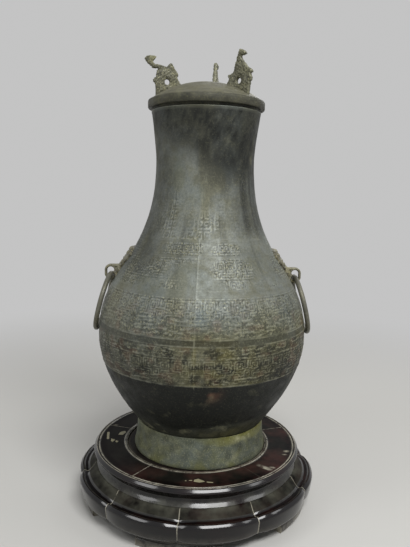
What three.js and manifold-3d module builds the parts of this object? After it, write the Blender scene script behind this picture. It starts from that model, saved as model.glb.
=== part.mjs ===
// A lidded bronze hu: a pear-shaped ritual vessel with two ring handles and three finials on its
// lid, standing in the turned recess of a lacquered wooden stand with ten petals and five feet.
// Millimetres, +Z up. The origin is on the floor under the middle of the stand, the front is -Y,
// and the two handles lie along X.
import * as THREE from 'three';
import * as BufferGeometryUtils from 'three/addons/utils/BufferGeometryUtils.js';
import Module from 'manifold-3d';

const wasm = await Module();
wasm.setup();

// Clearances
const seatGap = 0.3;        // between pieces that rest on each other or are joined
const tongueGap = 0.7;      // between the lid's tongue and the inside of the mouth
const vaseSideGap = 0.8;    // between the vase's foot and the recess, on the side it is pushed to

// Vessel, with heights above the underside of its own foot
const mouthHeight = 374;
const mouthRadius = 59.3;
const mouthFlare = 0.15;    // how far the mouth leans out for each millimetre of height
const neckHeight = 322;
const neckRadius = 53.6;
const bellyHeight = 133;
const bellyRadius = 115.7;
const waistHeight = 34;     // where the belly meets the foot
const waistRadius = 72;
const baseHeight = 16;      // underside of the vessel, inside the foot
const wall = 3;
const lowerSlope = THREE.MathUtils.degToRad(55);

// How far the outline's curves run on from their ends, as shares of each curve's height
const waistPull = 0.14;
const underBellyPull = 0.475;
const overBellyPull = 0.397;
const underNeckPull = 0.587;
const overNeckPull = 0.23;
const mouthPull = 0.27;
const basePull = 0.67;      // the same for the underside, at the waist
const baseFlat = 0.55;      // share of the waist's radius over which the underside is flat

// Raised lines that frame the bands of ornament
const lineHeights = [104, 146, 191, 240];
const lineWidth = 2.4;
const lineProud = 0.7;

// Foot
const footRadius = 75.5;
const footWall = 5;
const footEdge = 3;         // straight edge at the bottom

// Lid
const lidRadius = 63.2;
const lidRimHeight = 8.7;
const lidStep = 2.2;        // from the seat up to the rim's underside
const lidSeatInset = 1;     // from the mouth's edge in to the seat's
const lidRimRound = 1.2;
const lidShoulder = 1.8;    // flat ring between the rim and the dome
const domeRise = 19.2;
const lidWall = 3;
const tongueDepth = 12;
const tongueWall = 3;

// Finials, cut from plates that stand on the lid in radial planes
const finialDistance = 44.5;
const finialThickness = 5.2;
const backFinialStretch = 1.07;    // the back one is this much taller
const finialHole = 2.9;
const finialHoleHeight = 7.4;
const tenonWidth = 10;
const tenonThickness = 2.4;
const tenonInside = 1.5;    // how far a tenon shows inside the lid

// Handles
const maskTop = 226;
const maskBottom = 194;
const maskHalfWidth = 21;
const maskEdge = 1.8;
const maskRelief = 3;
const tangWidth = 9;
const tangThickness = 3;
const loopOutside = 5.2;    // from the mask's face to the middle of the eye
const loopHeight = 196.2;   // middle of the eye's lower end
const eyeRise = 3.6;        // straight length of the eye above that
const loopBar = 3.2;
const loopWidth = 7;
const eyeGap = 1.2;         // between the ring's bar and the top of the eye
const ringRadius = 31.9;
const ringBar = 2.75;       // radius of the ring's bar

// Stand
const standFootHeight = 14;
const standFootDepth = 15;
const standFootHalfAngle = 20;
const standFootInset = 8;   // from the petals' rim in to the foot's face
const petalHeight = 27;
const petalReach = 18.5;    // from the frame's edge out to the petals' rim
const petalLap = 7;         // how far the petals reach in under the collar
const petalDrop = 7;        // from the petals' inner edge down to their rim
const petalNotch = 3.4;     // how far the rim draws in towards the cusps
const petalDip = 3;         // how far it sinks there
const petalRoll = 3.6;      // height of the roll along the rim
const cuspAngle = -97.5;    // where two petals meet over the front foot
const collarHeight = 12.4;
const collarCove = 3.6;
const frameHeight = 8;
const frameRadius = 117.5;
const lipWidth = 5.2;
const lipProud = 1;
const recessRadius = 80;
const recessBead = 3.4;
const recessDepth = 2.3;    // from the frame's lip down to the recess floor
const frameJointAngle = -125.5;
const panelTongue = 4;
const panelTongueHeight = 2.4;
const panelHeight = 6.5;
const battenWidth = 26;
const battenHeight = 6;

const roundSteps = 40;
const petals = 10;
const standFeet = 5;

// Materials
const bronze = new THREE.MeshStandardMaterial({ color: 0x4d4c41, roughness: 0.55, metalness: 0.75 });
const footBronze = new THREE.MeshStandardMaterial({ color: 0x6a6d58, roughness: 0.75, metalness: 0.5 });
const lidBronze = new THREE.MeshStandardMaterial({ color: 0x6b6650, roughness: 0.6, metalness: 0.6 });
const finialBronze = new THREE.MeshStandardMaterial({ color: 0x857f5b, roughness: 0.7, metalness: 0.5 });
const ringBronze = new THREE.MeshStandardMaterial({ color: 0x5f5a48, roughness: 0.5, metalness: 0.75 });
const lacquer = new THREE.MeshStandardMaterial({ color: 0x2a1211, roughness: 0.25, metalness: 0 });
const panelWood = new THREE.MeshStandardMaterial({ color: 0x1f1010, roughness: 0.35, metalness: 0 });

const v2 = (x, y) => new THREE.Vector2(x, y);
const rad = THREE.MathUtils.degToRad;

// Solids: joining and cutting closed meshes
function plainMesh(geometry) {
  const copy = geometry.clone();
  copy.deleteAttribute('normal');
  copy.deleteAttribute('uv');
  const merged = BufferGeometryUtils.mergeVertices(copy, 1e-4);
  const kept = [];
  const index = merged.index.array;
  for (let i = 0; i < index.length; i += 3) {
    const [a, b, c] = [index[i], index[i + 1], index[i + 2]];
    if (a !== b && b !== c && c !== a) kept.push(a, b, c);
  }
  merged.setIndex(kept);
  return merged;
}

function solid(geometry) {
  const merged = plainMesh(geometry);
  return new wasm.Manifold(new wasm.Mesh({
    numProp: 3,
    vertProperties: merged.attributes.position.array,
    triVerts: new Uint32Array(merged.index.array),
  }));
}

function geometryOf(body) {
  const mesh = body.getMesh();
  const geometry = new THREE.BufferGeometry();
  geometry.setAttribute('position', new THREE.BufferAttribute(mesh.vertProperties, 3));
  geometry.setIndex(new THREE.BufferAttribute(mesh.triVerts, 1));
  return geometry;
}

function piece(name, geometry, material, parent) {
  const mesh = new THREE.Mesh(plainMesh(geometry), material);
  mesh.name = name;
  parent.add(mesh);
  return mesh;
}

// A profile of (radius, height) points turned round Z. The points run up the outside.
function turned(points) {
  const geometry = new THREE.LatheGeometry(points, roundSteps);
  return geometry.rotateX(Math.PI / 2);
}

// A closed section of (radius, height) points carried round Z from one angle to another. The
// section may change on the way: sectionAt is given the share of the way, from 0 to 1.
function swept(sectionAt, fromAngle, toAngle, steps) {
  const positions = [];
  const index = [];
  const count = sectionAt(0).length;
  for (let i = 0; i <= steps; i++) {
    const share = i / steps;
    const angle = fromAngle + (toAngle - fromAngle) * share;
    for (const p of sectionAt(share)) {
      positions.push(p.x * Math.cos(angle), p.x * Math.sin(angle), p.y);
    }
  }
  for (let i = 0; i < steps; i++) {
    for (let j = 0; j < count; j++) {
      const k = (j + 1) % count;
      const a = i * count + j;
      const b = i * count + k;
      index.push(a, a + count, b, b, a + count, b + count);
    }
  }
  const last = steps * count;
  for (const [a, b, c] of THREE.ShapeUtils.triangulateShape(sectionAt(0), [])) {
    index.push(a, b, c);
  }
  for (const [a, b, c] of THREE.ShapeUtils.triangulateShape(sectionAt(1), [])) {
    index.push(last + c, last + b, last + a);
  }
  const geometry = new THREE.BufferGeometry();
  geometry.setAttribute('position', new THREE.Float32BufferAttribute(positions, 3));
  geometry.setIndex(index);
  return geometry;
}

function box(sizeX, sizeY, sizeZ, x, y, z) {
  return new THREE.BoxGeometry(sizeX, sizeY, sizeZ).translate(x, y, z);
}

// The vessel's outline: three curves that meet at the belly and at the neck
const waistRun = (bellyHeight - waistHeight) * waistPull;
const lowerCurve = new THREE.CubicBezierCurve(
  v2(waistRadius, waistHeight),
  v2(waistRadius + waistRun * Math.cos(lowerSlope), waistHeight + waistRun * Math.sin(lowerSlope)),
  v2(bellyRadius, bellyHeight - (bellyHeight - waistHeight) * underBellyPull),
  v2(bellyRadius, bellyHeight),
);
const shoulderCurve = new THREE.CubicBezierCurve(
  v2(bellyRadius, bellyHeight),
  v2(bellyRadius, bellyHeight + (neckHeight - bellyHeight) * overBellyPull),
  v2(neckRadius, neckHeight - (neckHeight - bellyHeight) * underNeckPull),
  v2(neckRadius, neckHeight),
);
const mouthRun = (mouthHeight - neckHeight) * mouthPull;
const mouthCurve = new THREE.CubicBezierCurve(
  v2(neckRadius, neckHeight),
  v2(neckRadius, neckHeight + (mouthHeight - neckHeight) * overNeckPull),
  v2(mouthRadius - mouthRun * mouthFlare, mouthHeight - mouthRun),
  v2(mouthRadius, mouthHeight),
);
const baseRun = (waistHeight - baseHeight) * basePull;
const baseCurve = new THREE.CubicBezierCurve(
  v2(0, baseHeight),
  v2(waistRadius * baseFlat, baseHeight),
  v2(waistRadius - baseRun * Math.cos(lowerSlope), waistHeight - baseRun * Math.sin(lowerSlope)),
  v2(waistRadius, waistHeight),
);

function outline(baseSteps, lowerSteps, shoulderSteps, mouthSteps) {
  return [
    ...baseCurve.getPoints(baseSteps),
    ...lowerCurve.getPoints(lowerSteps).slice(1),
    ...shoulderCurve.getPoints(shoulderSteps).slice(1),
    ...mouthCurve.getPoints(mouthSteps).slice(1),
  ];
}

const fineOutline = outline(40, 60, 120, 40);

// The outline's radius and its outward normal at a height, above the vessel's waist
function outlineAt(height) {
  let i = fineOutline.findIndex((p) => p.y >= height && p.x >= neckRadius);
  i = Math.max(i, 1);
  const a = fineOutline[i - 1];
  const b = fineOutline[i];
  const share = (height - a.y) / (b.y - a.y);
  const along = b.clone().sub(a).normalize();
  return { radius: a.x + (b.x - a.x) * share, normal: v2(along.y, -along.x) };
}

// An outline moved inwards by a distance, or outwards by a negative one
function inset(points, distance) {
  return points.map((p, i) => {
    const before = points[Math.max(i - 1, 0)];
    const after = points[Math.min(i + 1, points.length - 1)];
    const along = after.clone().sub(before).normalize();
    const x = p.x === 0 ? 0 : p.x - along.y * distance;
    return v2(x, p.y + along.x * distance);
  });
}

function vesselOutside() {
  const half = lineWidth / 2;
  const outside = outline(4, 6, 14, 4).filter(
    (p) => p.y < waistHeight || lineHeights.every((h) => Math.abs(p.y - h) > half + 0.5),
  );
  for (const height of lineHeights) {
    for (const [offset, proud] of [[-half, 0], [-half * 0.4, lineProud], [half * 0.4, lineProud], [half, 0]]) {
      const { radius, normal } = outlineAt(height + offset);
      const p = v2(radius + normal.x * proud, height + offset + normal.y * proud);
      const at = outside.findIndex((q) => q.y > height + offset && q.x > neckRadius);
      outside.splice(at, 0, p);
    }
  }
  return outside;
}

function vesselProfile() {
  const inside = inset(outline(3, 4, 9, 3), wall);
  inside.at(-1).y = mouthHeight;
  return [...vesselOutside(), ...inside.reverse()];
}

// Radius of the space inside the vessel at a height
function boreAt(height) {
  const { radius, normal } = outlineAt(height);
  return radius - wall / normal.x;
}

// Where the vessel's underside lies over a radius, near its waist
function undersideAt(radius) {
  const points = baseCurve.getPoints(60);
  const i = points.findIndex((p) => p.x >= radius);
  const a = points[i - 1];
  const b = points[i];
  return a.y + (b.y - a.y) * (radius - a.x) / (b.x - a.x);
}

// The foot: a flaring ring whose top follows the underside of the belly
function footProfile() {
  const drop = seatGap / Math.cos(lowerSlope);
  const inner = waistRadius - footWall + 1;
  const height = waistHeight - drop;
  const flare = footRadius - waistRadius;
  return [
    v2(footRadius - footWall, 0),
    v2(footRadius, 0),
    v2(footRadius, footEdge),
    v2(waistRadius + flare * 0.42, footEdge + (height - footEdge) * 0.35),
    v2(waistRadius + flare * 0.12, footEdge + (height - footEdge) * 0.7),
    v2(waistRadius, height),
    v2(inner, undersideAt(inner) - drop),
    v2(inner, height * 0.45),
    v2(footRadius - footWall, 0),
  ];
}

// The lid: a dome on a deep rim, with a tongue that goes down into the mouth
const lidSeat = mouthHeight + seatGap;
const lidRimBottom = lidSeat + lidStep;
const lidRimTop = lidRimBottom + lidRimHeight;
const lidSeatRadius = mouthRadius - lidSeatInset;
const domeEdge = lidRadius - lidShoulder - lidRimRound;
const domeRadius = (domeEdge ** 2 + domeRise ** 2) / (2 * domeRise);
const domeFoot = lidRimTop + 0.7;

function domeHeight(radius, offset = 0) {
  const ball = domeRadius + offset;
  return domeFoot + domeRise - domeRadius + Math.sqrt(ball ** 2 - radius ** 2);
}

function domeArc(fromRadius, steps, offset = 0) {
  const points = [];
  for (let i = 0; i <= steps; i++) {
    const radius = fromRadius * (1 - i / steps);
    points.push(v2(radius, domeHeight(radius, offset)));
  }
  return points;
}

const tongueRadius = boreAt(mouthHeight - tongueDepth) - tongueGap;

function lidProfile() {
  const inner = tongueRadius - tongueWall;
  return [
    ...domeArc(inner, 6, -lidWall).reverse(),
    v2(inner, lidSeat - tongueDepth),
    v2(tongueRadius, lidSeat - tongueDepth),
    v2(tongueRadius, lidSeat),
    v2(lidSeatRadius, lidSeat),
    v2(lidSeatRadius, lidRimBottom),
    v2(lidRadius - lidRimRound, lidRimBottom),
    v2(lidRadius, lidRimBottom + lidRimRound),
    v2(lidRadius, lidRimTop - lidRimRound),
    v2(lidRadius - lidRimRound, lidRimTop),
    v2(domeEdge, lidRimTop),
    ...domeArc(domeEdge, 8),
  ];
}

// Finial outlines: (outwards, up) from the point where the middle of the plate meets the dome.
// Each is a crested bird or dragon with its head turned outwards.
const leaningBird = [
  [12, -8], [12.4, 3], [15.4, 8.6], [12.2, 12.6], [11.2, 18], [10.2, 20.4], [14.8, 20.2], [17.6, 22.4],
  [20.8, 24.8], [24, 28.8], [22.2, 31.8], [17.2, 33], [11.6, 31.8], [15, 27], [12.8, 24.8],
  [7.2, 24.4], [1.4, 23.2], [-4.1, 27], [-7.2, 23.6], [-8.8, 21.2], [-12.2, 16], [-11.8, 11.6], [-15.6, 6],
  [-15.6, 0],
];
const uprightBird = [
  [12.6, -8], [13.8, 3], [16.6, 8.4], [14.6, 12.8], [17.2, 14.4], [14.8, 18], [11.6, 19.6], [5.4, 26.4],
  [2.2, 31.4], [5.6, 32], [8.2, 33], [7.6, 35.4], [2.4, 38.4], [-1.2, 37.4], [-3.4, 30.4], [-6, 22.8],
  [-7.6, 16.6], [-14.6, 14.4], [-13.4, 10], [-16, 6], [-16, 0],
];

const finials = [
  { name: 'finial_left', angle: 198, points: leaningBird },
  { name: 'finial_right', angle: -42, points: uprightBird },
  { name: 'finial_back', angle: 77, points: uprightBird.map(([x, y]) => [x, y * backFinialStretch]) },
];

function circlePath(x, y, radius) {
  const points = new THREE.EllipseCurve(x, y, radius, radius, 0, 2 * Math.PI, true).getPoints(14);
  return new THREE.Path(points.slice(0, -1));
}

function plateShape(points) {
  const shape = new THREE.Shape();
  const [first, ...rest] = points.map(([x, y]) => v2(x, y));
  shape.moveTo(first.x, first.y);
  shape.splineThru(rest.slice(0, -1));
  shape.lineTo(rest.at(-1).x, rest.at(-1).y);
  shape.closePath();
  shape.holes.push(circlePath(0, finialHoleHeight, finialHole));
  return shape;
}

// A plate in the XZ plane, its middle at the dome's surface, at the finials' distance from the axis
function finialPlate(points) {
  const plate = new THREE.ExtrudeGeometry(plateShape(points), {
    depth: finialThickness, bevelEnabled: false, curveSegments: 2,
  });
  plate.translate(0, 0, -finialThickness / 2);
  plate.rotateX(Math.PI / 2);
  return plate.translate(finialDistance, 0, domeHeight(finialDistance));
}

// Tenon or, with a margin, the slot that takes it
function tenon(margin) {
  const bottom = domeHeight(finialDistance + tenonWidth / 2, -lidWall) - tenonInside;
  const top = domeHeight(finialDistance) + 1 - margin;
  return box(
    tenonWidth + 2 * margin, tenonThickness + 2 * margin, top - bottom + 6 * margin,
    finialDistance, 0, (top + bottom) / 2,
  );
}

const finialCutter = solid(turned([v2(0, lidSeat), ...domeArc(domeEdge + 6, 12, seatGap)]));

function finial(points) {
  return geometryOf(solid(finialPlate(points)).subtract(finialCutter).add(solid(tenon(0))));
}

function lid() {
  let body = solid(turned(lidProfile()));
  for (const { angle } of finials) {
    body = body.subtract(solid(tenon(seatGap).rotateZ(rad(angle))));
  }
  return geometryOf(body);
}

// Masks: a relief plate that follows the shoulder, from the brow at 0 down to the snout at 1
function shoulderPoint(height, side, out) {
  const { radius, normal } = outlineAt(height);
  const angle = side / radius;
  const reach = radius + normal.x * out;
  return new THREE.Vector3(reach * Math.cos(angle), reach * Math.sin(angle), height + normal.y * out);
}

function maskWidth(down) {
  const brow = Math.sin(Math.PI * Math.min(down * 1.15 + 0.22, 1));
  return maskHalfWidth * (0.42 + 0.58 * brow);
}

function maskProud(down, across) {
  const ridge = 1 - across ** 2;
  const swell = Math.sin(Math.PI * (0.12 + 0.86 * down));
  return maskEdge + maskRelief * ridge * swell;
}

function maskPlate() {
  const rows = 9;
  const columns = 8;
  const positions = [];
  const index = [];
  const at = (i, j, face) => 2 * (i * (columns + 1) + j) + face;
  for (let i = 0; i <= rows; i++) {
    for (let j = 0; j <= columns; j++) {
      const down = i / rows;
      const across = 2 * j / columns - 1;
      const height = maskTop + (maskBottom - maskTop) * down;
      for (const out of [-seatGap, seatGap + maskProud(down, across)]) {
        positions.push(...shoulderPoint(height, across * maskWidth(down), out));
      }
    }
  }
  const quad = (a, b, c, d) => index.push(a, b, c, a, c, d);
  for (let i = 0; i < rows; i++) {
    for (let j = 0; j < columns; j++) {
      quad(at(i, j, 1), at(i + 1, j, 1), at(i + 1, j + 1, 1), at(i, j + 1, 1));
      quad(at(i, j, 0), at(i, j + 1, 0), at(i + 1, j + 1, 0), at(i + 1, j, 0));
    }
    quad(at(i, 0, 0), at(i + 1, 0, 0), at(i + 1, 0, 1), at(i, 0, 1));
    quad(at(i, columns, 0), at(i, columns, 1), at(i + 1, columns, 1), at(i + 1, columns, 0));
  }
  for (let j = 0; j < columns; j++) {
    quad(at(0, j, 0), at(0, j, 1), at(0, j + 1, 1), at(0, j + 1, 0));
    quad(at(rows, j, 0), at(rows, j + 1, 0), at(rows, j + 1, 1), at(rows, j, 1));
  }
  const geometry = new THREE.BufferGeometry();
  geometry.setAttribute('position', new THREE.Float32BufferAttribute(positions, 3));
  geometry.setIndex(index);
  return geometry;
}

// The snout's loop: a flat loop in the XZ plane round an upright eye, through which the ring hangs
const eyeRadius = ringBar + eyeGap;
const loopFace = outlineAt(loopHeight).radius + 2 * seatGap + maskEdge;
const eyeX = loopFace + loopOutside;

// The ring's bar lies on the bottom of the eye, bent by the ring's curve across the loop's width
const barDroop = ringRadius - Math.sqrt(ringRadius ** 2 - (loopWidth / 2) ** 2);
const hangX = eyeX;
const hangZ = loopHeight - eyeGap + 2 * seatGap + barDroop;

function roundEnded(path, radius) {
  path.absarc(eyeX, loopHeight + eyeRise, radius, 0, Math.PI, false);
  path.absarc(eyeX, loopHeight, radius, Math.PI, 2 * Math.PI, false);
  path.closePath();
  return path;
}

function loop() {
  const shape = roundEnded(new THREE.Shape(), eyeRadius + loopBar);
  shape.holes.push(roundEnded(new THREE.Path(), eyeRadius));
  const plate = new THREE.ExtrudeGeometry(shape, { depth: loopWidth, bevelEnabled: false, curveSegments: 5 });
  return plate.translate(0, 0, -loopWidth / 2).rotateX(Math.PI / 2);
}

// The snout, a level bar from the mask out to the top of its loop
function snout() {
  const height = loopHeight + eyeRise + eyeRadius + loopBar / 2;
  const inside = outlineAt(height).radius;
  return box(eyeX - inside, loopWidth, loopBar, (eyeX + inside) / 2, 0, height);
}

// What the mask may not reach into: the vessel with its raised lines, grown by the clearance
function vesselCutter() {
  const face = inset(vesselOutside(), -seatGap);
  return turned([...face, v2(0, face.at(-1).y)]);
}

// Tang that holds the mask in the vessel's wall or, with a margin, the slot that takes it
function tang(margin) {
  const height = (maskTop + maskBottom) / 2;
  const { radius, normal } = outlineAt(height);
  const inside = wall + 1 + margin * 4;
  const outside = maskEdge * 0.8;
  const bar = box(inside + outside, tangThickness + 2 * margin, tangWidth + 2 * margin,
    (outside - inside) / 2, 0, 0);
  bar.rotateY(-Math.atan2(normal.y, normal.x));
  return bar.translate(radius, 0, height);
}

function mask() {
  const face = solid(maskPlate()).add(solid(loop())).add(solid(snout())).subtract(solid(vesselCutter()));
  return geometryOf(face.add(solid(tang(0))));
}

function vesselBody() {
  const body = solid(turned(vesselProfile()));
  const right = solid(tang(seatGap));
  const left = solid(tang(seatGap).rotateZ(Math.PI));
  return geometryOf(body.subtract(right).subtract(left));
}

// The ring hangs from its loop and leans on the belly, on the raised line's height
const leanX = bellyRadius + lineProud + seatGap + ringBar;
const leanAngle = Math.asin((leanX - hangX) / (2 * ringRadius));

function ring() {
  const geometry = new THREE.TorusGeometry(ringRadius, ringBar, 8, 32);
  geometry.rotateY(Math.PI / 2);
  geometry.translate(0, 0, -ringRadius);
  geometry.rotateY(-leanAngle);
  return geometry.translate(hangX, 0, hangZ);
}

// Stand heights, from the floor up
const petalBottom = standFootHeight + seatGap;
const petalTop = petalBottom + petalHeight;
const collarBottom = petalTop + seatGap;
const collarTop = collarBottom + collarHeight;
const frameBottom = collarTop + seatGap;
const frameTop = frameBottom + frameHeight;
const panelTop = frameTop - recessDepth;
const panelBottom = panelTop - panelHeight;
const collarOuter = frameRadius - 4.5;
const petalRim = frameRadius + petalReach;
const petalInner = collarOuter - petalLap;
const petalSeat = collarOuter + 3;

// The top frame: five felloes with a bullnose edge, a raised lip and a bead round the recess
function frameSection() {
  const flat = frameTop - lipProud;
  const inner = recessRadius;
  const groove = inner + panelTongue + seatGap;
  const grooveBottom = panelBottom + 1.6;
  const grooveTop = grooveBottom + panelTongueHeight + 2 * seatGap;
  return [
    v2(inner, frameBottom),
    v2(frameRadius - 2.6, frameBottom),
    v2(frameRadius, frameBottom + frameHeight * 0.28),
    v2(frameRadius, frameBottom + frameHeight * 0.62),
    v2(frameRadius - 1.6, frameTop),
    v2(frameRadius - lipWidth, frameTop),
    v2(frameRadius - lipWidth - lipProud, flat),
    v2(inner + recessBead + lipProud, flat),
    v2(inner + recessBead, frameTop - lipProud * 0.3),
    v2(inner, frameTop - lipProud * 0.3),
    v2(inner, grooveTop),
    v2(groove, grooveTop),
    v2(groove, grooveBottom),
    v2(inner, grooveBottom),
  ];
}

function panelProfile() {
  const outer = recessRadius - seatGap;
  const tongueBottom = panelBottom + 1.6 + seatGap;
  const tongueTop = tongueBottom + panelTongueHeight;
  return [
    v2(0, panelBottom),
    v2(outer, panelBottom),
    v2(outer, tongueBottom),
    v2(outer + panelTongue, tongueBottom),
    v2(outer + panelTongue, tongueTop),
    v2(outer, tongueTop),
    v2(outer, panelTop),
    v2(0, panelTop),
  ];
}

// The collar: a hollow-faced ring between the frame and the petals
const collarInner = collarOuter - 11;

function collarProfile() {
  const face = [0, 0.2, 0.4, 0.6, 0.8, 1].map((share) => {
    const cove = collarCove * Math.sin(Math.PI * share);
    return v2(collarOuter + 2 * (1 - share) - cove, collarBottom + collarHeight * share);
  });
  return [v2(collarInner, collarBottom), ...face, v2(collarInner, collarTop), v2(collarInner, collarBottom)];
}

// A petal: its top falls from the collar in a hollow and rises again to a roll along the rim
function petalSection(share) {
  const side = Math.abs(2 * share - 1);
  const rim = petalRim - petalNotch * side ** 3;
  const reach = rim - petalSeat;
  const crest = petalTop - petalDrop + 1 - petalDip * side ** 4;
  return [
    v2(petalInner, petalBottom),
    v2(rim - 3.6, petalBottom),
    v2(rim - 2, petalBottom + 2),
    v2(rim - 0.6, petalBottom + (crest - petalBottom) * 0.55),
    v2(rim, crest - petalRoll),
    v2(rim - 1.2, crest - petalRoll * 0.3),
    v2(rim - 3.6, crest),
    v2(rim - 6, crest - petalRoll * 0.3),
    v2(rim - 8, crest - petalRoll * 0.4),
    v2(petalSeat + reach * 0.3, crest + (petalTop - crest) * 0.2),
    v2(petalSeat, petalTop),
    v2(petalInner, petalTop),
  ];
}

// A foot under every second cusp, a curved block with a bead along its top
function standFootSection() {
  const outer = petalRim - standFootInset;
  const inner = outer - standFootDepth;
  return [
    v2(inner, 0),
    v2(outer - 1.4, 0),
    v2(outer, 1.6),
    v2(outer, standFootHeight * 0.58),
    v2(outer - 2, standFootHeight * 0.7),
    v2(outer - 0.6, standFootHeight * 0.84),
    v2(outer - 1.6, standFootHeight),
    v2(inner, standFootHeight),
  ];
}

const hu = new THREE.Group();

const stand = new THREE.Group();
hu.add(stand);

const felloeTurn = 2 * Math.PI / standFeet;
const felloeTrim = Math.asin(seatGap / 2 / recessRadius);
for (let i = 0; i < standFeet; i++) {
  const from = rad(frameJointAngle) + felloeTurn * i;
  const felloe = swept(frameSection, from + felloeTrim, from + felloeTurn - felloeTrim, 8);
  piece(`stand_felloe_${i + 1}`, felloe, lacquer, stand);
}
piece('stand_panel', turned(panelProfile()), panelWood, stand);
piece('stand_collar', turned(collarProfile()), lacquer, stand);
const battenLength = 2 * Math.sqrt((collarInner - seatGap) ** 2 - (battenWidth / 2) ** 2) - 1;
const batten = box(battenLength, battenWidth, battenHeight, 0, 0, panelBottom - seatGap - battenHeight / 2);
piece('stand_batten', batten, panelWood, stand);

const petalTurn = 2 * Math.PI / petals;
const petalTrim = Math.asin(seatGap / 2 / petalInner);
for (let i = 0; i < petals; i++) {
  const from = rad(cuspAngle) + petalTurn * i;
  const petal = swept(petalSection, from + petalTrim, from + petalTurn - petalTrim, 8);
  piece(`stand_petal_${i + 1}`, petal, lacquer, stand);
}
for (let i = 0; i < standFeet; i++) {
  const middle = rad(cuspAngle) + 2 * petalTurn * i;
  const half = rad(standFootHalfAngle);
  piece(`stand_foot_${i + 1}`, swept(standFootSection, middle - half, middle + half, 7), lacquer, stand);
}

// The vase stands in the recess, pushed to the right as far as it goes
const vase = new THREE.Group();
vase.position.set(recessRadius - footRadius - vaseSideGap, 0, panelTop + seatGap);
hu.add(vase);

piece('vessel_body', vesselBody(), bronze, vase);
piece('foot_ring', turned(footProfile()), footBronze, vase);
piece('lid', lid(), lidBronze, vase);
for (const { name, angle, points } of finials) {
  piece(name, finial(points), finialBronze, vase).rotation.z = rad(angle);
}
for (const [side, turn] of [['right', 0], ['left', Math.PI]]) {
  piece(`mask_${side}`, mask(), ringBronze, vase).rotation.z = turn;
  piece(`ring_${side}`, ring(), ringBronze, vase).rotation.z = turn;
}

export default hu;
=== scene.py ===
# A lidded bronze hu vase on a lacquered wooden stand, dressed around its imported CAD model.
# Lengths are in millimetres, as in the CAD source, until make() turns a mesh into metres.
import math
from functools import partial

import bpy
import numpy as np
from mathutils import Matrix, Vector
from mathutils.geometry import delaunay_2d_cdt

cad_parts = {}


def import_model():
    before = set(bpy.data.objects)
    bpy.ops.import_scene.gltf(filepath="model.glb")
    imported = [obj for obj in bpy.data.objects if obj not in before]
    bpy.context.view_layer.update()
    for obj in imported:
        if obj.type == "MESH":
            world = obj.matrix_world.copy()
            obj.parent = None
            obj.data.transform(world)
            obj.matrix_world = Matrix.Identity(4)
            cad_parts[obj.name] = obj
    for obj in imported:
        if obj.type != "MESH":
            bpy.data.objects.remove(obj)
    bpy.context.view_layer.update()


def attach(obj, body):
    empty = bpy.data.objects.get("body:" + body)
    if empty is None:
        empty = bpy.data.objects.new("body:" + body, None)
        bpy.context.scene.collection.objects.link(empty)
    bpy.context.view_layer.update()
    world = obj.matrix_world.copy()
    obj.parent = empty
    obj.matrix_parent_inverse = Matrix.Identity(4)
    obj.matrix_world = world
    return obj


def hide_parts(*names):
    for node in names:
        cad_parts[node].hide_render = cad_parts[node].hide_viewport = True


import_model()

MM = 0.001
RAD = math.pi / 180
TURN = 2 * math.pi

# The vase, with heights above the underside of its own foot
VASE_X = 3.7
VASE_Z = 60.3
SEAT_GAP = 0.3
MOUTH_HEIGHT, MOUTH_RADIUS, MOUTH_FLARE = 374, 59.3, 0.15
NECK_HEIGHT, NECK_RADIUS = 322, 53.6
BELLY_HEIGHT, BELLY_RADIUS = 133, 115.7
WAIST_HEIGHT, WAIST_RADIUS = 34, 72
BASE_HEIGHT = 16
WALL = 3
LOWER_SLOPE = 55 * RAD
FOOT_RADIUS, FOOT_WALL, FOOT_EDGE = 75.5, 5, 3
SEAM_ANGLE = -94 * RAD

# The lid and its finials
LID_RADIUS, LID_RIM, LID_ROUND, LID_SHOULDER, DOME_RISE = 63.2, 8.7, 1.2, 1.8, 19.2
LID_STEP, LID_SEAT_INSET = 2.2, 1
LID_WALL, TONGUE_DEPTH, TONGUE_WALL, TONGUE_GAP = 3, 12, 3, 0.7
FINIAL_DISTANCE, FINIAL_HALF, FINIAL_HOLE, FINIAL_HOLE_HEIGHT, BACK_STRETCH = 44.5, 2.6, 2.9, 7.4, 1.07

# The handles
MASK_TOP, MASK_BOTTOM, MASK_HALF_WIDTH, MASK_EDGE, MASK_RELIEF = 226, 194, 21, 1.8, 3
LOOP_OUTSIDE, LOOP_HEIGHT, LOOP_BAR, LOOP_WIDTH, EYE_GAP, EYE_RISE = 5.2, 196.2, 3.2, 7, 1.2, 3.6
RING_RADIUS, RING_BAR, LINE_PROUD = 31.9, 2.75, 0.7

# The stand, with heights above the floor
FOOT_HEIGHT, STAND_FOOT_DEPTH, STAND_FOOT_HALF, STAND_FOOT_INSET = 14, 15, 20, 8
PETAL_HEIGHT, PETAL_DROP, PETAL_NOTCH, PETAL_DIP, PETAL_ROLL, CUSP_ANGLE = 27, 7, 3.4, 3, 3.6, -97.5
COLLAR_HEIGHT, COLLAR_COVE = 12.4, 3.6
FRAME_HEIGHT, FRAME_RADIUS, LIP_WIDTH, LIP_PROUD, FRAME_JOINT = 8, 117.5, 5.2, 1, -125.5
RECESS_RADIUS, RECESS_BEAD, RECESS_DEPTH = 80, 3.4, 2.3
PANEL_HEIGHT, PANEL_TONGUE, PANEL_TONGUE_HEIGHT, PANEL_TONGUE_UP = 6.5, 4, 2.4, 1.6
BATTEN_WIDTH, BATTEN_HEIGHT = 26, 6
PETAL_BOTTOM = FOOT_HEIGHT + SEAT_GAP
PETAL_TOP = PETAL_BOTTOM + PETAL_HEIGHT
COLLAR_BOTTOM = PETAL_TOP + SEAT_GAP
COLLAR_TOP = COLLAR_BOTTOM + COLLAR_HEIGHT
FRAME_BOTTOM = COLLAR_TOP + SEAT_GAP
FRAME_TOP = FRAME_BOTTOM + FRAME_HEIGHT
PANEL_TOP = FRAME_TOP - RECESS_DEPTH
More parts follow.
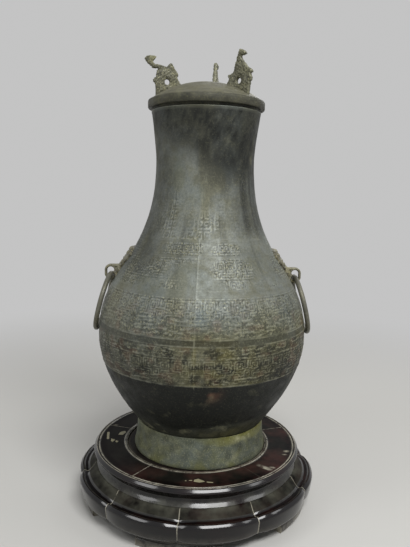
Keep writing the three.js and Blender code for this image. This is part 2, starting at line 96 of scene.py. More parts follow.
PANEL_BOTTOM = PANEL_TOP - PANEL_HEIGHT
COLLAR_OUTER = FRAME_RADIUS - 4.5
COLLAR_INNER = COLLAR_OUTER - 11
PETAL_RIM = FRAME_RADIUS + 18.5
PETAL_INNER = COLLAR_OUTER - 7
PETAL_SEAT = COLLAR_OUTER + 3

CORNER_STEPS = 3        # steps in a rounded corner
CORNER_REACH = 0.45     # the most of a side that a rounded corner takes up
POLE = 1e-6             # a radius under which a row is one point
FOOT_COLUMNS, LID_COLUMNS, WOOD_COLUMNS = 216, 180, 180


# Values that change smoothly
def rise(value, low, high):
    """0 up to low, 1 from high on, and smooth between them."""
    t = np.clip((value - low) / (high - low), 0, 1)
    return t * t * (3 - 2 * t)


def fall(value, low, high):
    """1 up to low and 0 from high on."""
    return 1 - rise(value, low, high)


def peak(distance, width):
    """1 at no distance, and hardly anything at twice the width."""
    return np.exp(-(distance / width) ** 2)


def lattice(x, y, columns, rows, seed):
    """Random values from 0 to 1. x runs round once from 0 to 1, and y runs from 0 to 1."""
    values = np.random.default_rng(seed).random((rows + 2, columns))
    u = (x % 1) * columns
    v = np.clip(y, 0, 1) * rows
    i, j = np.floor(v).astype(int), np.floor(u).astype(int) % columns
    s, t = rise(v - np.floor(v), 0, 1), rise(u - np.floor(u), 0, 1)
    k = (j + 1) % columns
    low = values[i, j] * (1 - t) + values[i, k] * t
    high = values[i + 1, j] * (1 - t) + values[i + 1, k] * t
    return low * (1 - s) + high * s


# Curves and outlines
def bezier(start, pull, end, back, steps):
    """A curve that leaves its start by one vector and comes into its end by another."""
    t = np.linspace(0, 1, steps + 1)[:, None]
    a, v, d, w = (np.array(each, float) for each in (start, pull, end, back))
    return a * (1 - t) ** 3 + 3 * (a + v) * t * (1 - t) ** 2 + 3 * (d - w) * t * t * (1 - t) + d * t ** 3


def catmull(points, steps):
    """An open curve through the points, which keeps its two ends."""
    p = np.array(points, float)
    p = np.vstack([p[:1], p, p[-1:]])
    t = np.linspace(0, 1, steps + 1)[:-1, None]
    out = []
    for a, b, c, d in zip(p, p[1:], p[2:], p[3:]):
        v, w = (c - a) / 2, (d - b) / 2
        out.append((2 * b - 2 * c + v + w) * t ** 3 + (3 * c - 3 * b - 2 * v - w) * t ** 2 + v * t + b)
    return np.vstack(out + [p[-1:]])


def rounded(points, radii):
    """A closed outline with its corners rounded off. A radius of 0 keeps its corner."""
    p = np.array(points, float)
    t = np.linspace(0, 1, CORNER_STEPS + 1)[:, None]
    radii = np.broadcast_to(radii, len(p))
    out = []
    for corner, before, after, radius in zip(p, np.roll(p, 1, 0), np.roll(p, -1, 0), radii):
        sides = [before - corner, after - corner]
        lengths = [np.linalg.norm(side) for side in sides]
        reach = min(radius, CORNER_REACH * min(lengths))
        a, b = (corner + side / length * reach for side, length in zip(sides, lengths))
        out.append(a * (1 - t) ** 2 + 2 * corner * t * (1 - t) + b * t * t if reach else [corner])
    return np.vstack(out)


def angles(count):
    return np.arange(count) * TURN / count


def turned(radius, angle, height, x=0):
    """Points round the upright line at x. Any of the values may differ from point to point."""
    return np.column_stack(np.broadcast_arrays(x + radius * np.cos(angle), radius * np.sin(angle), height))


def to_path(path, x, y):
    """Distance from each point to a path."""
    best = np.full(np.broadcast(x, y).shape, np.inf)
    for (ax, ay), (bx, by) in zip(path, path[1:]):
        dx, dy = bx - ax, by - ay
        t = np.clip(((x - ax) * dx + (y - ay) * dy) / (dx * dx + dy * dy), 0, 1)
        best = np.minimum(best, np.hypot(x - ax - t * dx, y - ay - t * dy))
    return best


# Meshes
def stitch(rows):
    """Points and faces of a skin over rows of points that go round. A row of one point is a pole."""
    starts = np.cumsum([0] + [len(row) for row in rows])
    faces = []
    for a, b, first, second in zip(rows, rows[1:], starts, starts[1:]):
        n, m = len(a), len(b)
        count = max(n, m) if 1 in (n, m) else min(n, m)
        in_low, in_high = max(n // count, 1), max(m // count, 1)
        for i in range(count):
            low = [first + (in_low * i + step) % n for step in range(in_low + 1)]
            high = [second + (in_high * i + step) % m for step in range(in_high, -1, -1)]
            faces.append(tuple(dict.fromkeys(low + high)))
    return np.vstack(rows), faces


def capped(rows):
    """A skin over the rows that is closed at both ends."""
    points, faces = stitch(rows)
    count, total = len(rows[0]), len(points)
    return points, faces + [tuple(range(count))[::-1], tuple(range(total - count, total))]


def looped(rows):
    """A tube whose last row joins its first."""
    points, faces = stitch(rows + rows[:1])
    points = points[:-len(rows[0])]
    return points, [tuple(i % len(points) for i in f) for f in faces]


def turned_over(faces):
    return [f[::-1] for f in faces]


def around(profile, columns, x=0, z=0, uneven=0, seed=0):
    """Rows of points of a profile turned round the upright line at x. uneven moves the skin in and out."""
    low, high = profile[:, 1].min(), profile[:, 1].max()
    rows = []
    for radius, height in profile:
        angle = angles(columns if radius > POLE else 1)
        share = np.full(angle.shape, (height - low) / (high - low))
        r = radius + uneven * (lattice(angle / TURN, share, 24, 5, seed) - 0.5) * (radius > POLE)
        rows.append(turned(r, angle, z + height, x))
    return rows


def swept(section_at, start, end, steps, edge):
    """Points, faces and the share of the way of each point, for a section carried round Z from one angle to
    another. The first and last steps are a narrow edge."""
    radius = np.max(section_at(0.5)[:, 0])
    edge_share = edge / (radius * abs(end - start) * RAD)
    shares = np.concatenate([[0], np.linspace(edge_share, 1 - edge_share, steps + 1), [1]])
    rows = []
    for share in shares:
        reach, height = section_at(share).T
        rows.append(turned(reach, (start + (end - start) * share) * RAD, height))
    points, faces = capped(rows)
    return points, turned_over(faces), np.repeat(shares, len(rows[0]))


def put(name, data):
    thing = bpy.data.objects.new(name, data)
    bpy.context.scene.collection.objects.link(thing)
    return thing


def make(name, points, faces, body, slot, material, nodes=(), sharp=40, **values):
    """A piece of the scene. values are what its material reads, at each point or all over."""
    mesh = bpy.data.meshes.new(name)
    mesh.from_pydata((np.asarray(points) * MM).tolist(), [], [tuple(int(i) for i in f) for f in faces])
    mesh.shade_smooth()
    mesh.set_sharp_from_angle(angle=sharp * RAD)
    for key, value in values.items():
        each = np.full(len(points), value, np.float32)
        mesh.attributes.new(key, "FLOAT", "POINT").data.foreach_set("value", each)
    mesh.materials.append(material)
    piece = put(name, mesh)
    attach(piece, body)
    if nodes:
        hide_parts(*nodes)
    return piece


# Materials. Every pattern is placed by the object's own coordinates, in metres.
def tone(text):
    """A colour written as in a picture, as the linear values that a shader takes."""
    parts = [int(text[i:i + 2], 16) / 255 for i in (0, 2, 4)]
    return (*(p / 12.92 if p <= 0.04045 else ((p + 0.055) / 1.055) ** 2.4 for p in parts), 1)


def plug(tree, node, key, value):
    """Link a socket to a node's input, or set the input to a value."""
    if isinstance(value, bpy.types.NodeSocket):
        tree.links.new(value, node.inputs[key])
    else:
        node.inputs[key].default_value = value


def add(tree, kind, inputs=None, **settings):
    node = tree.nodes.new(kind)
    for key, value in settings.items():
        setattr(node, key, value)
    for key, value in (inputs or {}).items():
        plug(tree, node, key, value)
    return node


def new_material(name):
    material = bpy.data.materials.new(name)
    material.use_nodes = True
    tree = material.node_tree
    return material, tree, tree.nodes["Principled BSDF"]


def place_in(tree):
    return add(tree, "ShaderNodeTexCoord").outputs["Object"]


def grain(tree, scale, low=0.35, high=0.65, detail=4, stretch=(1, 1, 1), turn=0):
    """Noise spread to 0..1 between the limits low and high. turn picks another stretch of it."""
    place = {"Vector": place_in(tree), "Scale": stretch, "Location": (turn,) * 3}
    mapped = add(tree, "ShaderNodeMapping", place).outputs[0]
    noise = {"Vector": mapped, "Scale": scale, "Detail": detail, "Roughness": 0.6}
    return span(tree, add(tree, "ShaderNodeTexNoise", noise).outputs[0], low, high)


def span(tree, value, low, high, to_low=0, to_high=1):
    limits = {"Value": value, "From Min": low, "From Max": high, "To Min": to_low, "To Max": to_high}
    return add(tree, "ShaderNodeMapRange", limits).outputs[0]


def mix(tree, share, a, b):
    return add(tree, "ShaderNodeMix", {0: share, 6: a, 7: b}, data_type="RGBA").outputs[2]


def layered(tree, colour, layers):
    """A colour with others over it, each by its share."""
    for share, over in layers:
        colour = mix(tree, share, colour, tone(over) if isinstance(over, str) else over)
    return colour


def maths(tree, operation, a, b):
    return add(tree, "ShaderNodeMath", {0: a, 1: b}, operation=operation).outputs[0]


def times(tree, a, b):
    return maths(tree, "MULTIPLY", a, b)


def attribute(tree, name):
    return add(tree, "ShaderNodeAttribute", attribute_name=name).outputs["Fac"]


def bump(tree, shader, height, depth, strength):
    inputs = {"Height": height, "Distance": depth * MM, "Strength": strength}
    plug(tree, shader, "Normal", add(tree, "ShaderNodeBump", inputs).outputs[0])


def grey(value):
    return (value, value, value, 1)


BLUISH, RUSTY, WORN_LACQUER, DUST = "727d7c", "71503f", "a19c8c", "54544a"
RIDGE_ROUGHNESS, CRUST_ROUGHNESS, DUST_ROUGHNESS = 0.3, 0.85, 0.55


def bronze(name, tones, crusted, rough, metallic, turn=0):
    """Patinated bronze. The attribute relief is 0 in the grooves, 0.5 on plain skin and 1 on the ridges,
    which are lightened as worn metal and as a painted highlight. shade darkens the skin, as dark patina and
    as painted shade, warm and cool tint it, and rust, speckled and crust_at bring corrosion. The tones are
    dark, middle, light, tint and crust, and the crust lies where the noise is over crusted."""
    material, tree, shader = new_material(name)
    dark, mid, light, tint, crust = tones.split()
    small = grain(tree, 90, 0.4, 0.66, turn=turn + 3)
    fine = grain(tree, 420, 0.3, 0.7, turn=turn + 5)
    relief = attribute(tree, "relief")
    # ridge lightens the raised lines towards the edge colour: worn metal and a painted highlight
    ridge = times(tree, span(tree, relief, 0.55, 1), 0.6)
    edge = mix(tree, times(tree, attribute(tree, "warm"), 0.8), tone(light), tone(crust))
    speckled = attribute(tree, "speckled")
    pits = times(tree, grain(tree, 520, 0.53, 0.62, detail=2, turn=turn + 13), speckled)
    dots = times(tree, grain(tree, 610, 0.57, 0.66, detail=2, turn=turn + 11), speckled)
    blotch = grain(tree, 55, crusted, crusted + 0.16, detail=8, turn=turn + 9)
    spots = times(tree, times(tree, blotch, attribute(tree, "crust_at")), 0.75)
    plug(tree, shader, "Base Color", layered(tree, tone(mid), [
        (grain(tree, 17, turn=turn), light),
        (maths(tree, "MAXIMUM", times(tree, small, 0.35), attribute(tree, "warm")), tint),
        (attribute(tree, "cool"), BLUISH),
        (times(tree, fine, 0.3), dark),
        # shade: dark patina and painted shade
        (attribute(tree, "shade"), dark),
        (attribute(tree, "rust"), RUSTY),
        (span(tree, relief, 0.5, 0.05, 0, 0.42), dark),
        (ridge, edge),
        (times(tree, pits, 0.55), dark),
        (times(tree, dots, 0.6), crust),
        (spots, crust),
    ]))
    plug(tree, shader, "Metallic", metallic)
    plug(tree, shader, "Specular IOR Level", 0.35)
    plug(tree, shader, "Roughness", layered(tree, grey(rough[0]), [
        (small, grey(rough[1])), (ridge, grey(RIDGE_ROUGHNESS)), (spots, grey(CRUST_ROUGHNESS)),
    ]))
    bump(tree, shader, mix(tree, 0.5, fine, grain(tree, 900, 0.3, 0.7, turn=turn)), 0.25, 0.6)
    return material


def lacquer(name, tones, gloss, reddish=0.55, specular=0.2, coat=0):
    """Old lacquer on wood. The attribute red is 1 where it has turned red and low where the lacquer is kept
    black as painted shade, wear is 1 where it is rubbed pale, and dust is 1 where dust lies. The tones are
    black, red, rubbed and dusty."""
    material, tree, shader = new_material(name)
    deep, red, worn, dusty = tones
    cloud = times(tree, grain(tree, 20, 0.45, 0.7), attribute(tree, "red"))
    streak = grain(tree, 60, 0.35, 0.75, stretch=(1, 1, 6))
    film = times(tree, attribute(tree, "dust"), grain(tree, 60, 0.3, 0.7, detail=5, turn=4))
    rubbed = times(tree, attribute(tree, "wear"), grain(tree, 150, 0.3, 0.5, turn=2))
    plug(tree, shader, "Base Color", layered(tree, tone(deep), [
        (times(tree, cloud, reddish), red), (times(tree, streak, 0.35), deep), (film, dusty), (rubbed, worn),
    ]))
    dull = maths(tree, "MAXIMUM", rubbed, film)
    plug(tree, shader, "Roughness", span(tree, dull, 0, 1, gloss, DUST_ROUGHNESS))
    plug(tree, shader, "Specular IOR Level", specular)
    plug(tree, shader, "Coat Weight", coat)
    plug(tree, shader, "Coat IOR", 1.6)
    plug(tree, shader, "Coat Roughness", 0.1)
    bump(tree, shader, grain(tree, 240, 0.2, 0.8, stretch=(1, 1, 2)), 0.1, 0.3)
    return material


body_bronze = bronze("body bronze", "171916 636760 848881 6a6540 9c9a7c", 0.6, (0.5, 0.68), 0.25)
foot_bronze = bronze("foot bronze", "33372f 646a5e 7b8074 87853f b0af8c", 0.55, (0.55, 0.75), 0.2, 20)
lid_bronze = bronze("lid bronze", "25261f 605e50 787665 6e6a50 83825f", 0.58, (0.5, 0.68), 0.25, 40)
finial_bronze = bronze("finial bronze", "1d1e17 5c5b4d 84836f 716f50 9d9a78", 0.54, (0.5, 0.75), 0.25, 60)
handle_bronze = bronze("handle bronze", "1b1c18 4c4b42 77766a 6a634a 87845f", 0.58, (0.36, 0.55), 0.35, 80)
mask_bronze = bronze("mask bronze", "22231e 67665b 8c8b7e 7a7150 a9a276", 0.55, (0.4, 0.58), 0.3, 90)
shiny_lacquer = lacquer("shiny lacquer", ("070608", "2c100d", WORN_LACQUER, DUST), 0.16, 0.35, 0.25, 0.35)
flat_lacquer = lacquer("flat lacquer", ("080606", "4a2e29", WORN_LACQUER, DUST), 0.42, 0.8, 0.03)
panel_lacquer = lacquer("panel lacquer", ("0a0606", "241010", "5e574a", "302c28"), 0.4, 0.4, 0.04)
inlay = lacquer("inlay", ("8f8a70", "a9a284", "bdb797", "7a745c"), 0.4)
PLAIN = 0.5             # the attribute relief on a plain surface


# The vessel's outline. A pull is how far a curve bends, as a share of the height of its stretch.
WAIST_PULL, BELLY_PULL_DOWN, BELLY_PULL_UP, NECK_PULL_DOWN = 0.14, 0.475, 0.397, 0.587
NECK_PULL_UP, MOUTH_PULL, BASE_PULL, BASE_FLAT = 0.23, 0.27, 0.67, 0.55
waist, belly = (WAIST_RADIUS, WAIST_HEIGHT), (BELLY_RADIUS, BELLY_HEIGHT)
neck, rim = (NECK_RADIUS, NECK_HEIGHT), (MOUTH_RADIUS, MOUTH_HEIGHT)
slope, upright = np.array([math.cos(LOWER_SLOPE), math.sin(LOWER_SLOPE)]), np.array([0, 1])
lower_run, upper_run = BELLY_HEIGHT - WAIST_HEIGHT, NECK_HEIGHT - BELLY_HEIGHT
mouth_run, base_run = MOUTH_HEIGHT - NECK_HEIGHT, WAIST_HEIGHT - BASE_HEIGHT
flare = np.array([MOUTH_FLARE, 1])
lower = bezier(waist, slope * lower_run * WAIST_PULL, belly, upright * lower_run * BELLY_PULL_DOWN, 80)
shoulder = bezier(belly, upright * upper_run * BELLY_PULL_UP, neck, upright * upper_run * NECK_PULL_DOWN, 160)
mouth = bezier(neck, upright * mouth_run * NECK_PULL_UP, rim, flare * mouth_run * MOUTH_PULL, 60)
base = bezier((0, BASE_HEIGHT), (WAIST_RADIUS * BASE_FLAT, 0), waist, slope * base_run * BASE_PULL, 12)
flank = np.vstack([lower, shoulder[1:], mouth[1:]])


def flank_at(height):
    """Radius and outward normal of the vessel's flank at a height."""
    radius, above, under = (np.interp(height + step, flank[:, 1], flank[:, 0]) for step in (0, 0.5, -0.5))
    lean = above - under
    length = np.sqrt(1 + lean ** 2)
    return radius, 1 / length, -lean / length


# Ornament, drawn on a raster of cells and cast in relief
COIL = [        # half of a pair of squared coils: # is a raised line and o a boss
    "#############",
    ".............",
    ".##########.#",
    ".#........#.#",
    ".#.######.#.#",
    ".#.#....#.#.#",
    ".#.#.oo.#.#.#",
    ".#.#.oo.#...#",
    ".#.#....#####",
    ".#.######....",
    ".#........###",
    ".########.#..",
    "........#.#.#",
    "#######.#.#.#",
    "......#...#..",
]
CELL_RELIEF = {".": 0, "#": 1, "o": 1.5}
FINE, HALF_FINE, COARSE, INSIDE = 624, 312, 156, 78     # points in a row of the body's skin


def coil(row, column):
    line = np.array([CELL_RELIEF[mark] for mark in COIL[row % len(COIL)]])
    wide = len(line)
    place = column % (2 * wide)
    return line[np.where(place < wide, place, 2 * wide - 1 - place)]


def ribbons(row, column):
    """Broken lines that wave along the band."""
    wave = 1.2 * np.sin(column * TURN / 52) + 0.5 * np.sin(column * TURN / 24 + 1)
    gaps = lattice(column / FINE, np.full(column.shape, row / 40), 104, 40, 2) < 0.4
    return np.where(((row + wave) % 3 < 1.4) & ~gaps, 1.0, 0.15)


def spiral(row, column, wide, high):
    """Squared spirals side by side, each a mirror image of the next."""
    i, j = column % wide, row % high
    odd = (column // wide + row // high) % 2 == 1
    i = np.where(odd & (i < wide - 1), wide - 2 - i, i)
    ring = np.minimum(np.minimum(i, j), np.minimum(wide - 2 - i, high - 2 - j))
    line = (ring % 2 == 0) != ((i == ring) & (j == ring + 1))
    return np.where(ring < 0, 0.0, line)


def low_band(row, column):
    return coil(row - 8, column) if 8 <= row < 23 else ribbons(row, column)


def high_band(row, column):
    return coil(row, column) if row < 15 else ribbons(row, column)


def thunder(row, column):
    return spiral(row, column, 8, 8)


BANDS = [       # low and high edge, depth of the relief, how worn it is
    (105.2, 142.0, 0.5, 0.45, low_band),
    (151.2, 187.6, 0.5, 0.35, high_band),
    (195.2, 223.6, 0.4, 0.95, coil),
    (225.8, 237.8, 0.35, 0.95, thunder),
]
LINES = [       # height, half width and how proud: the plain raised fillets
    (103.8, 0.6, 0.45), (143.4, 0.5, 0.35), (150.0, 0.5, 0.35),
    (188.8, 0.5, 0.4), (193.8, 0.5, 0.3), (224.7, 0.4, 0.3), (239.8, 0.6, 0.4),
]
BLADES, BLADE_LOW, BLADE_HIGH = 24, 241.5, 308
ROW, BLADE_ROW = 1.2, 1.7       # heights of a cell
PLAIN_ROW, LOW_ROW, NECK_ROW = 2.4, 3.6, 3.4    # heights between rows of plain skin
BLADES_FINE, BLADES_END, NECK_START = 288, 310, 312
INNER_ROWS, UNDER_STEP, UNDER_RISE = 28, 3.6, 0.12
ORNAMENT_LOW, ORNAMENT_HIGH = 102, 241.2
PATINA_TOP = 187                # height up to which even the plain strips are rough
PLAIN_STRIP = 146.7             # middle of the strip between the two lower bands
FLAT_INSIDE = 60                # radius up to which the floor inside is even
CLEAR_SPOTS = [     # degrees from the front, height and half sizes of the places with clear relief
    (20, 212, 17, 14), (18, 231, 14, 8), (-10, 231, 9, 6), (70, 212, 14, 14), (210, 210, 20, 14),
]


def from_front(share):
    """Degrees round the vase from the middle of its front, to the right, for a share of a turn."""
    return (share * 360 + 90 + 180) % 360 - 180


def sideways(front):
    """The angle from the front, brought back to 0 behind, where what lies on one side alone has to meet."""
    return front * fall(np.abs(front), 110, 170)


def from_seam(share, height, seam=SEAM_ANGLE):
    """Distance round the flank from a seam of the mould."""
    return np.abs((share * TURN - seam + math.pi) % TURN - math.pi) * flank_at(height)[0]


def unworn(height, share):
    """1 where the relief has stayed clear, and 0 where it is rubbed away."""
    clear = rise(lattice(share, np.full(share.shape, height / MOUTH_HEIGHT), 26, 16, 3), 0.45, 0.75)
    for angle, at, wide, high in CLEAR_SPOTS:
        away = (from_front(share) - angle + 180) % 360 - 180
        clear = np.maximum(clear, fall(np.hypot(away / wide, (height - at) / high), 0.6, 1.1))
    return clear


def vessel_relief(height, columns):
    """Relief in millimetres along the normal, and the shader's relief and speckle, for one row."""
    column = np.arange(columns) * (FINE // columns)
    share = column / FINE
    field = partial(lattice, share, np.full(columns, height / MOUTH_HEIGHT))
    clear = unworn(height, share)
    pitted = field(FINE // 2, 190, 9) - 0.5
    rough = float(ORNAMENT_LOW < height < PATINA_TOP)
    raised = np.zeros(columns)
    value = PLAIN + 0.35 * rough * pitted
    speckled = np.full(columns, 0.12 + 0.25 * rough)
    for low, high, depth, worn, motif in BANDS:
        if low <= height <= high:
            cells = motif(int((high - height) / ROW), column)
            fade = 1 - worn * (1 - clear)
            raised += (depth * (cells - 0.5) + 0.35 * pitted) * fade
            value = PLAIN + (np.clip(cells, 0, 1) - 0.45 + 1.1 * pitted) * fade
            speckled = 0.2 + 0.8 * fade
    for at, half, proud in LINES:
        lift = rise(-abs(height - at), -half - 0.6, -half + 0.3)
        raised += proud * lift
        value = value + (0.2 + 0.4 * rough) * lift * field(60, 60, 4)
    if BLADE_LOW <= height <= BLADE_HIGH:
        up = (height - BLADE_LOW) / (BLADE_HIGH - BLADE_LOW)
        pitch = columns // BLADES
        across = (np.arange(columns) + pitch // 2 - columns * 3 // 4) % pitch - pitch // 2
        inside = (0.5 * pitch * (1 - up) ** 0.55 - np.abs(across)) * TURN * flank_at(height)[0] / columns
        cells = np.where(inside > 2.2, spiral(int((height - BLADE_LOW) / BLADE_ROW), across + 90, 6, 6), 0.35)
        cells = np.maximum(cells, rise(-np.abs(inside - 0.9), -1.3, -0.2))
        fade = (0.25 + 0.6 * clear) * (1 - 0.6 * rise(up, 0.3, 1))
        raised += (0.35 * (cells - 0.4) + 0.2 * pitted) * fade
        value = PLAIN + (np.clip(cells, 0, 1) - 0.5) * fade
        speckled = 0.15 + 0.5 * fade
    on_flank = rise(height, 90, 110) * fall(height, 236, 300)
    for seam, strength in ((SEAM_ANGLE, 1), (SEAM_ANGLE + math.pi, 0.8)):
        # the seam's raised line, which the shader lightens as worn metal and a painted highlight
        ridge = peak(from_seam(share, height, seam), 0.7) * on_flank * strength
        raised += 0.4 * ridge
        value = value + 0.45 * ridge
    raised += 0.6 * (field(14, 9, 5) - 0.5) + 0.2 * (field(78, 60, 6) - 0.5)
    return raised, np.clip(value, 0, 1), speckled


def vessel_patina_and_shade(height, share):
    """What the shader reads of the patina on the flank, and of the painted shade under the belly and at the
    sides of the neck.
    """
    front = from_front(share)
    aside = sideways(front)
    field = partial(lattice, share, np.full(share.shape, height / 400))
    cloud, streak = field(20, 14, 11), field(90, 5, 15)
    patch = 0.6 * field(60, 44, 12) + 0.4 * field(156, 110, 13)
    plain = rise(-abs(height - PLAIN_STRIP), -4.4, -2.8)
    over_foot = fall(height + 18 * (cloud - 0.5), 40, 56) * (0.35 + 0.65 * rise(aside, -30, 15))
    neck_edge = 306 - 26 * np.sin(front * RAD) + 22 * (cloud - 0.5) + 24 * (patch - 0.5)
    # painted shade: the lower belly, which faces down, is darkened
    painted_underside_shade = fall(height + 1.5 * (patch - 0.5), 102, 103.6) * (0.82 + 0.24 * patch)
    # painted shade, with some patina streaks: the neck's left and right sides, away from the light in front,
    # are darkened
    painted_neck_side_shade = rise(np.abs(front), 16, 50) * rise(height, 232, 258) * (0.46 + 0.35 * streak)
    dark = np.maximum.reduce([
        rise(height - neck_edge, -18, 30) * (0.62 + 0.5 * patch),
        painted_underside_shade * (1 - 0.9 * over_foot * (0.4 + 0.6 * patch)),
        painted_neck_side_shade * (0.7 + 0.5 * rise(aside, -10, 20)),
        rise(-aside, 20, 50) * rise(height, 192, 212) * (0.35 + 0.35 * patch),  # left of the shoulder
        rise(-aside, 4, 30) * fall(height, 130, 165) * (0.2 + 0.35 * patch),    # left of the belly
        rise(aside, 10, 50) * fall(height, 120, 160) * (0.62 + 0.4 * patch),    # right of the belly
        rise(field(110, 84, 14), 0.45, 0.75) * fall(height, 140, 160) * 0.7,    # spots of the lower band
        (0.4 + 0.35 * patch) * plain,
        0.3 * rise(streak, 0.6, 0.9) * rise(height, 150, 240),                  # runs on shoulder and neck
    ])
    # painted shade: darker towards the bottom of the belly, where the flank tilts down
    dark = dark + 0.16 * fall(height, 118, 150) * (1 - over_foot)
    belly = rise(height, 102, 104) * fall(height + 30 * (cloud - 0.5), 140, 190)
    olive = np.maximum.reduce([
        belly * (0.45 + 0.55 * rise(aside, -30, 10)) * (0.5 + 0.7 * patch),
        0.45 * rise(field(24, 12, 16), 0.55, 0.8),
        peak(from_seam(share, height), 4) * rise(height, 96, 108) * fall(height, 140, 152),
        over_foot * (0.4 + 0.6 * patch),
    ])
    bluish = 0.22 * rise(field(18, 14, 17), 0.5, 0.8) * rise(height, 120, 150)
    worn_red = 0.26 * rise(field(78, 60, 18), 0.6, 0.85) * rise(height, 100, 112) * fall(height, 150, 200)
    rust_spot = 0.7 * peak(front - 4, 5) * peak(height - 95, 7) * rise(patch, 0.3, 0.6)
    return {
        "shade": np.clip(dark, 0, 1),
        "warm": np.clip(olive, 0, 1),
        "cool": np.maximum(bluish, 0.7 * peak(front + 1, 4) * peak(height - 172, 13)),
        "rust": np.clip((rust_spot + worn_red) * (1 - plain), 0, 1),
        "crust_at": 0.25 + 0.75 * fall(height, 42, 60) + 0.3 * olive,
    }


def vessel_heights():
    """Heights of the rows of the flank: one for each cell of the ornament, and a few over plain stretches."""
    wanted = list(np.arange(ORNAMENT_LOW, ORNAMENT_HIGH, PLAIN_ROW))
    for low, high, *_ in BANDS:
        cells = np.arange(high - ROW / 2, low, -ROW)
        wanted = [h for h in wanted if not low - 0.5 < h < high + 0.5] + list(cells)
    for at, half, _ in LINES:
        wanted = [h for h in wanted if abs(h - at) > half + 0.9]
        wanted += [at - half - 0.6, at, at + half + 0.6]
    low = np.arange(WAIST_HEIGHT + 3, ORNAMENT_LOW - 1, LOW_ROW)
    blades = np.arange(ORNAMENT_HIGH + 0.6, BLADES_FINE, BLADE_ROW)
    blades = np.append(blades, np.arange(BLADES_FINE + 1, BLADES_END, 2 * BLADE_ROW))
    neck = np.arange(NECK_START, MOUTH_HEIGHT - 2, NECK_ROW)
    parts = (low, HALF_FINE), (sorted(wanted), FINE), (blades, HALF_FINE), (neck, COARSE)
    return [(height, columns) for heights, columns in parts for height in heights]


def vessel():
    rows, looks = [], []

    def row(radius, height, columns, normal=(1, 0), ornament=False, inner=False):
        n = columns if radius > POLE else 1
        share = np.arange(n) / n
        raised, relief, speckled = vessel_relief(height, n) if ornament else (0, PLAIN, 0)
        up = height + raised * normal[1]
        rows.append(turned(radius + raised * normal[0], share * TURN, VASE_Z + up, VASE_X))
        look = {**vessel_patina_and_shade(height, share), "relief": relief, "speckled": speckled}
        # painted shade: the inside, and the underside within the foot, are darkened
        if inner:
            look["shade"] = 0.8
        looks.append({key: np.broadcast_to(value, n) for key, value in look.items()})

    for radius, height in base:
        row(radius, height, INSIDE, inner=True)
    for height, columns in vessel_heights():
        radius, *normal = flank_at(height)
        row(radius, height, columns, normal, True)
    for inset, down in ((0.1, 1.2), (0.1, 0.5), (0.7, 0), (WALL - 0.6, 0)):
        row(MOUTH_RADIUS - inset, MOUTH_HEIGHT - down, COARSE)
    row(MOUTH_RADIUS - WALL, MOUTH_HEIGHT - 0.7, COARSE, inner=True)
    for height in np.linspace(MOUTH_HEIGHT - 8, WAIST_HEIGHT + 6, INNER_ROWS):
        radius, *normal = flank_at(height)
        row(radius - WALL / normal[0], height, INSIDE, inner=True)
    for radius, height in base[::-1]:
        past = radius - FLAT_INSIDE
        up = height + WALL + UNDER_RISE * max(past, 0)
        row(radius - UNDER_STEP * (past > 0), up, INSIDE, inner=True)
    points, faces = stitch(rows)
    look = {key: np.concatenate([each[key] for each in looks]) for key in looks[0]}
    # the mouth's lip is made pale and unshaded: a worn edge and a painted highlight
    lip_wear_and_highlight = rise(points[:, 2] - VASE_Z, MOUTH_HEIGHT - 1.6, MOUTH_HEIGHT - 0.8)
    look["relief"] = np.maximum(look["relief"], lip_wear_and_highlight)
    look["shade"] = look["shade"] * (1 - lip_wear_and_highlight)
    make("vase_body", points, faces, "vessel", "bronze_body", body_bronze, ["vessel_body"], 60, **look)


vessel()


def share_of_turn(x, y):
    return np.arctan2(y, x - VASE_X) / TURN


# The foot ring
def foot():
    slip = SEAT_GAP / math.cos(LOWER_SLOPE)
    inner = WAIST_RADIUS - FOOT_WALL + 1
    foot_inner = FOOT_RADIUS - FOOT_WALL
    height = WAIST_HEIGHT - slip
    rising = height - FOOT_EDGE
    flare = FOOT_RADIUS - WAIST_RADIUS
    profile = np.vstack([
        [(foot_inner + 0.6, 0), (FOOT_RADIUS - 0.8, 0), (FOOT_RADIUS - 0.2, 0.3), (FOOT_RADIUS, 1)],
        catmull([
            (FOOT_RADIUS, FOOT_EDGE),
            (WAIST_RADIUS + flare * 0.42, FOOT_EDGE + rising * 0.35),
            (WAIST_RADIUS + flare * 0.12, FOOT_EDGE + rising * 0.7),
            (WAIST_RADIUS, height),
        ], 5),
        [(inner, np.interp(inner, base[:, 0], base[:, 1]) - slip), (inner, height * 0.45),
         (foot_inner, 0.6), (foot_inner + 0.6, 0)],
    ])
    points, faces = stitch(around(profile, FOOT_COLUMNS, VASE_X, VASE_Z, 0.5, 21))
    x, y, z = points.T
    up = z - VASE_Z
    share = share_of_turn(x, y)
    aside = sideways(from_front(share))
    field = partial(lattice, share, up / 40)
    patch, cloud = field(60, 7, 22), field(22, 3, 23)
    stain = rise(field(40, 4, 24), 0.5, 0.78)
    bottom = fall(up, 4, 16)
    junction = rise(up + 8 * (field(30, 5, 25) - 0.5), 23, 31)
    rightward = 0.35 + 0.65 * rise(aside, -20, 30)
    shade = 0.1 + 0.45 * rise(patch, 0.4, 0.8) * (1 - 0.6 * bottom) + 0.25 * rise(aside, 10, 50)
    make(
        "vase_foot", points, faces, "vessel", "bronze_foot", foot_bronze, ["foot_ring"],
        relief=PLAIN, speckled=0.45, shade=shade * (1 - 0.7 * junction * rightward),
        warm=np.maximum(junction * rightward * (0.6 + 0.6 * patch), 0.5 * stain * (0.35 + 0.65 * bottom)),
        cool=0.4 * rise(cloud, 0.4, 0.75) * fall(aside, 0, 45) * (1 - bottom),
        crust_at=0.35 + 0.65 * np.maximum(bottom * (0.4 + 0.9 * stain), rightward * stain),
    )


foot()


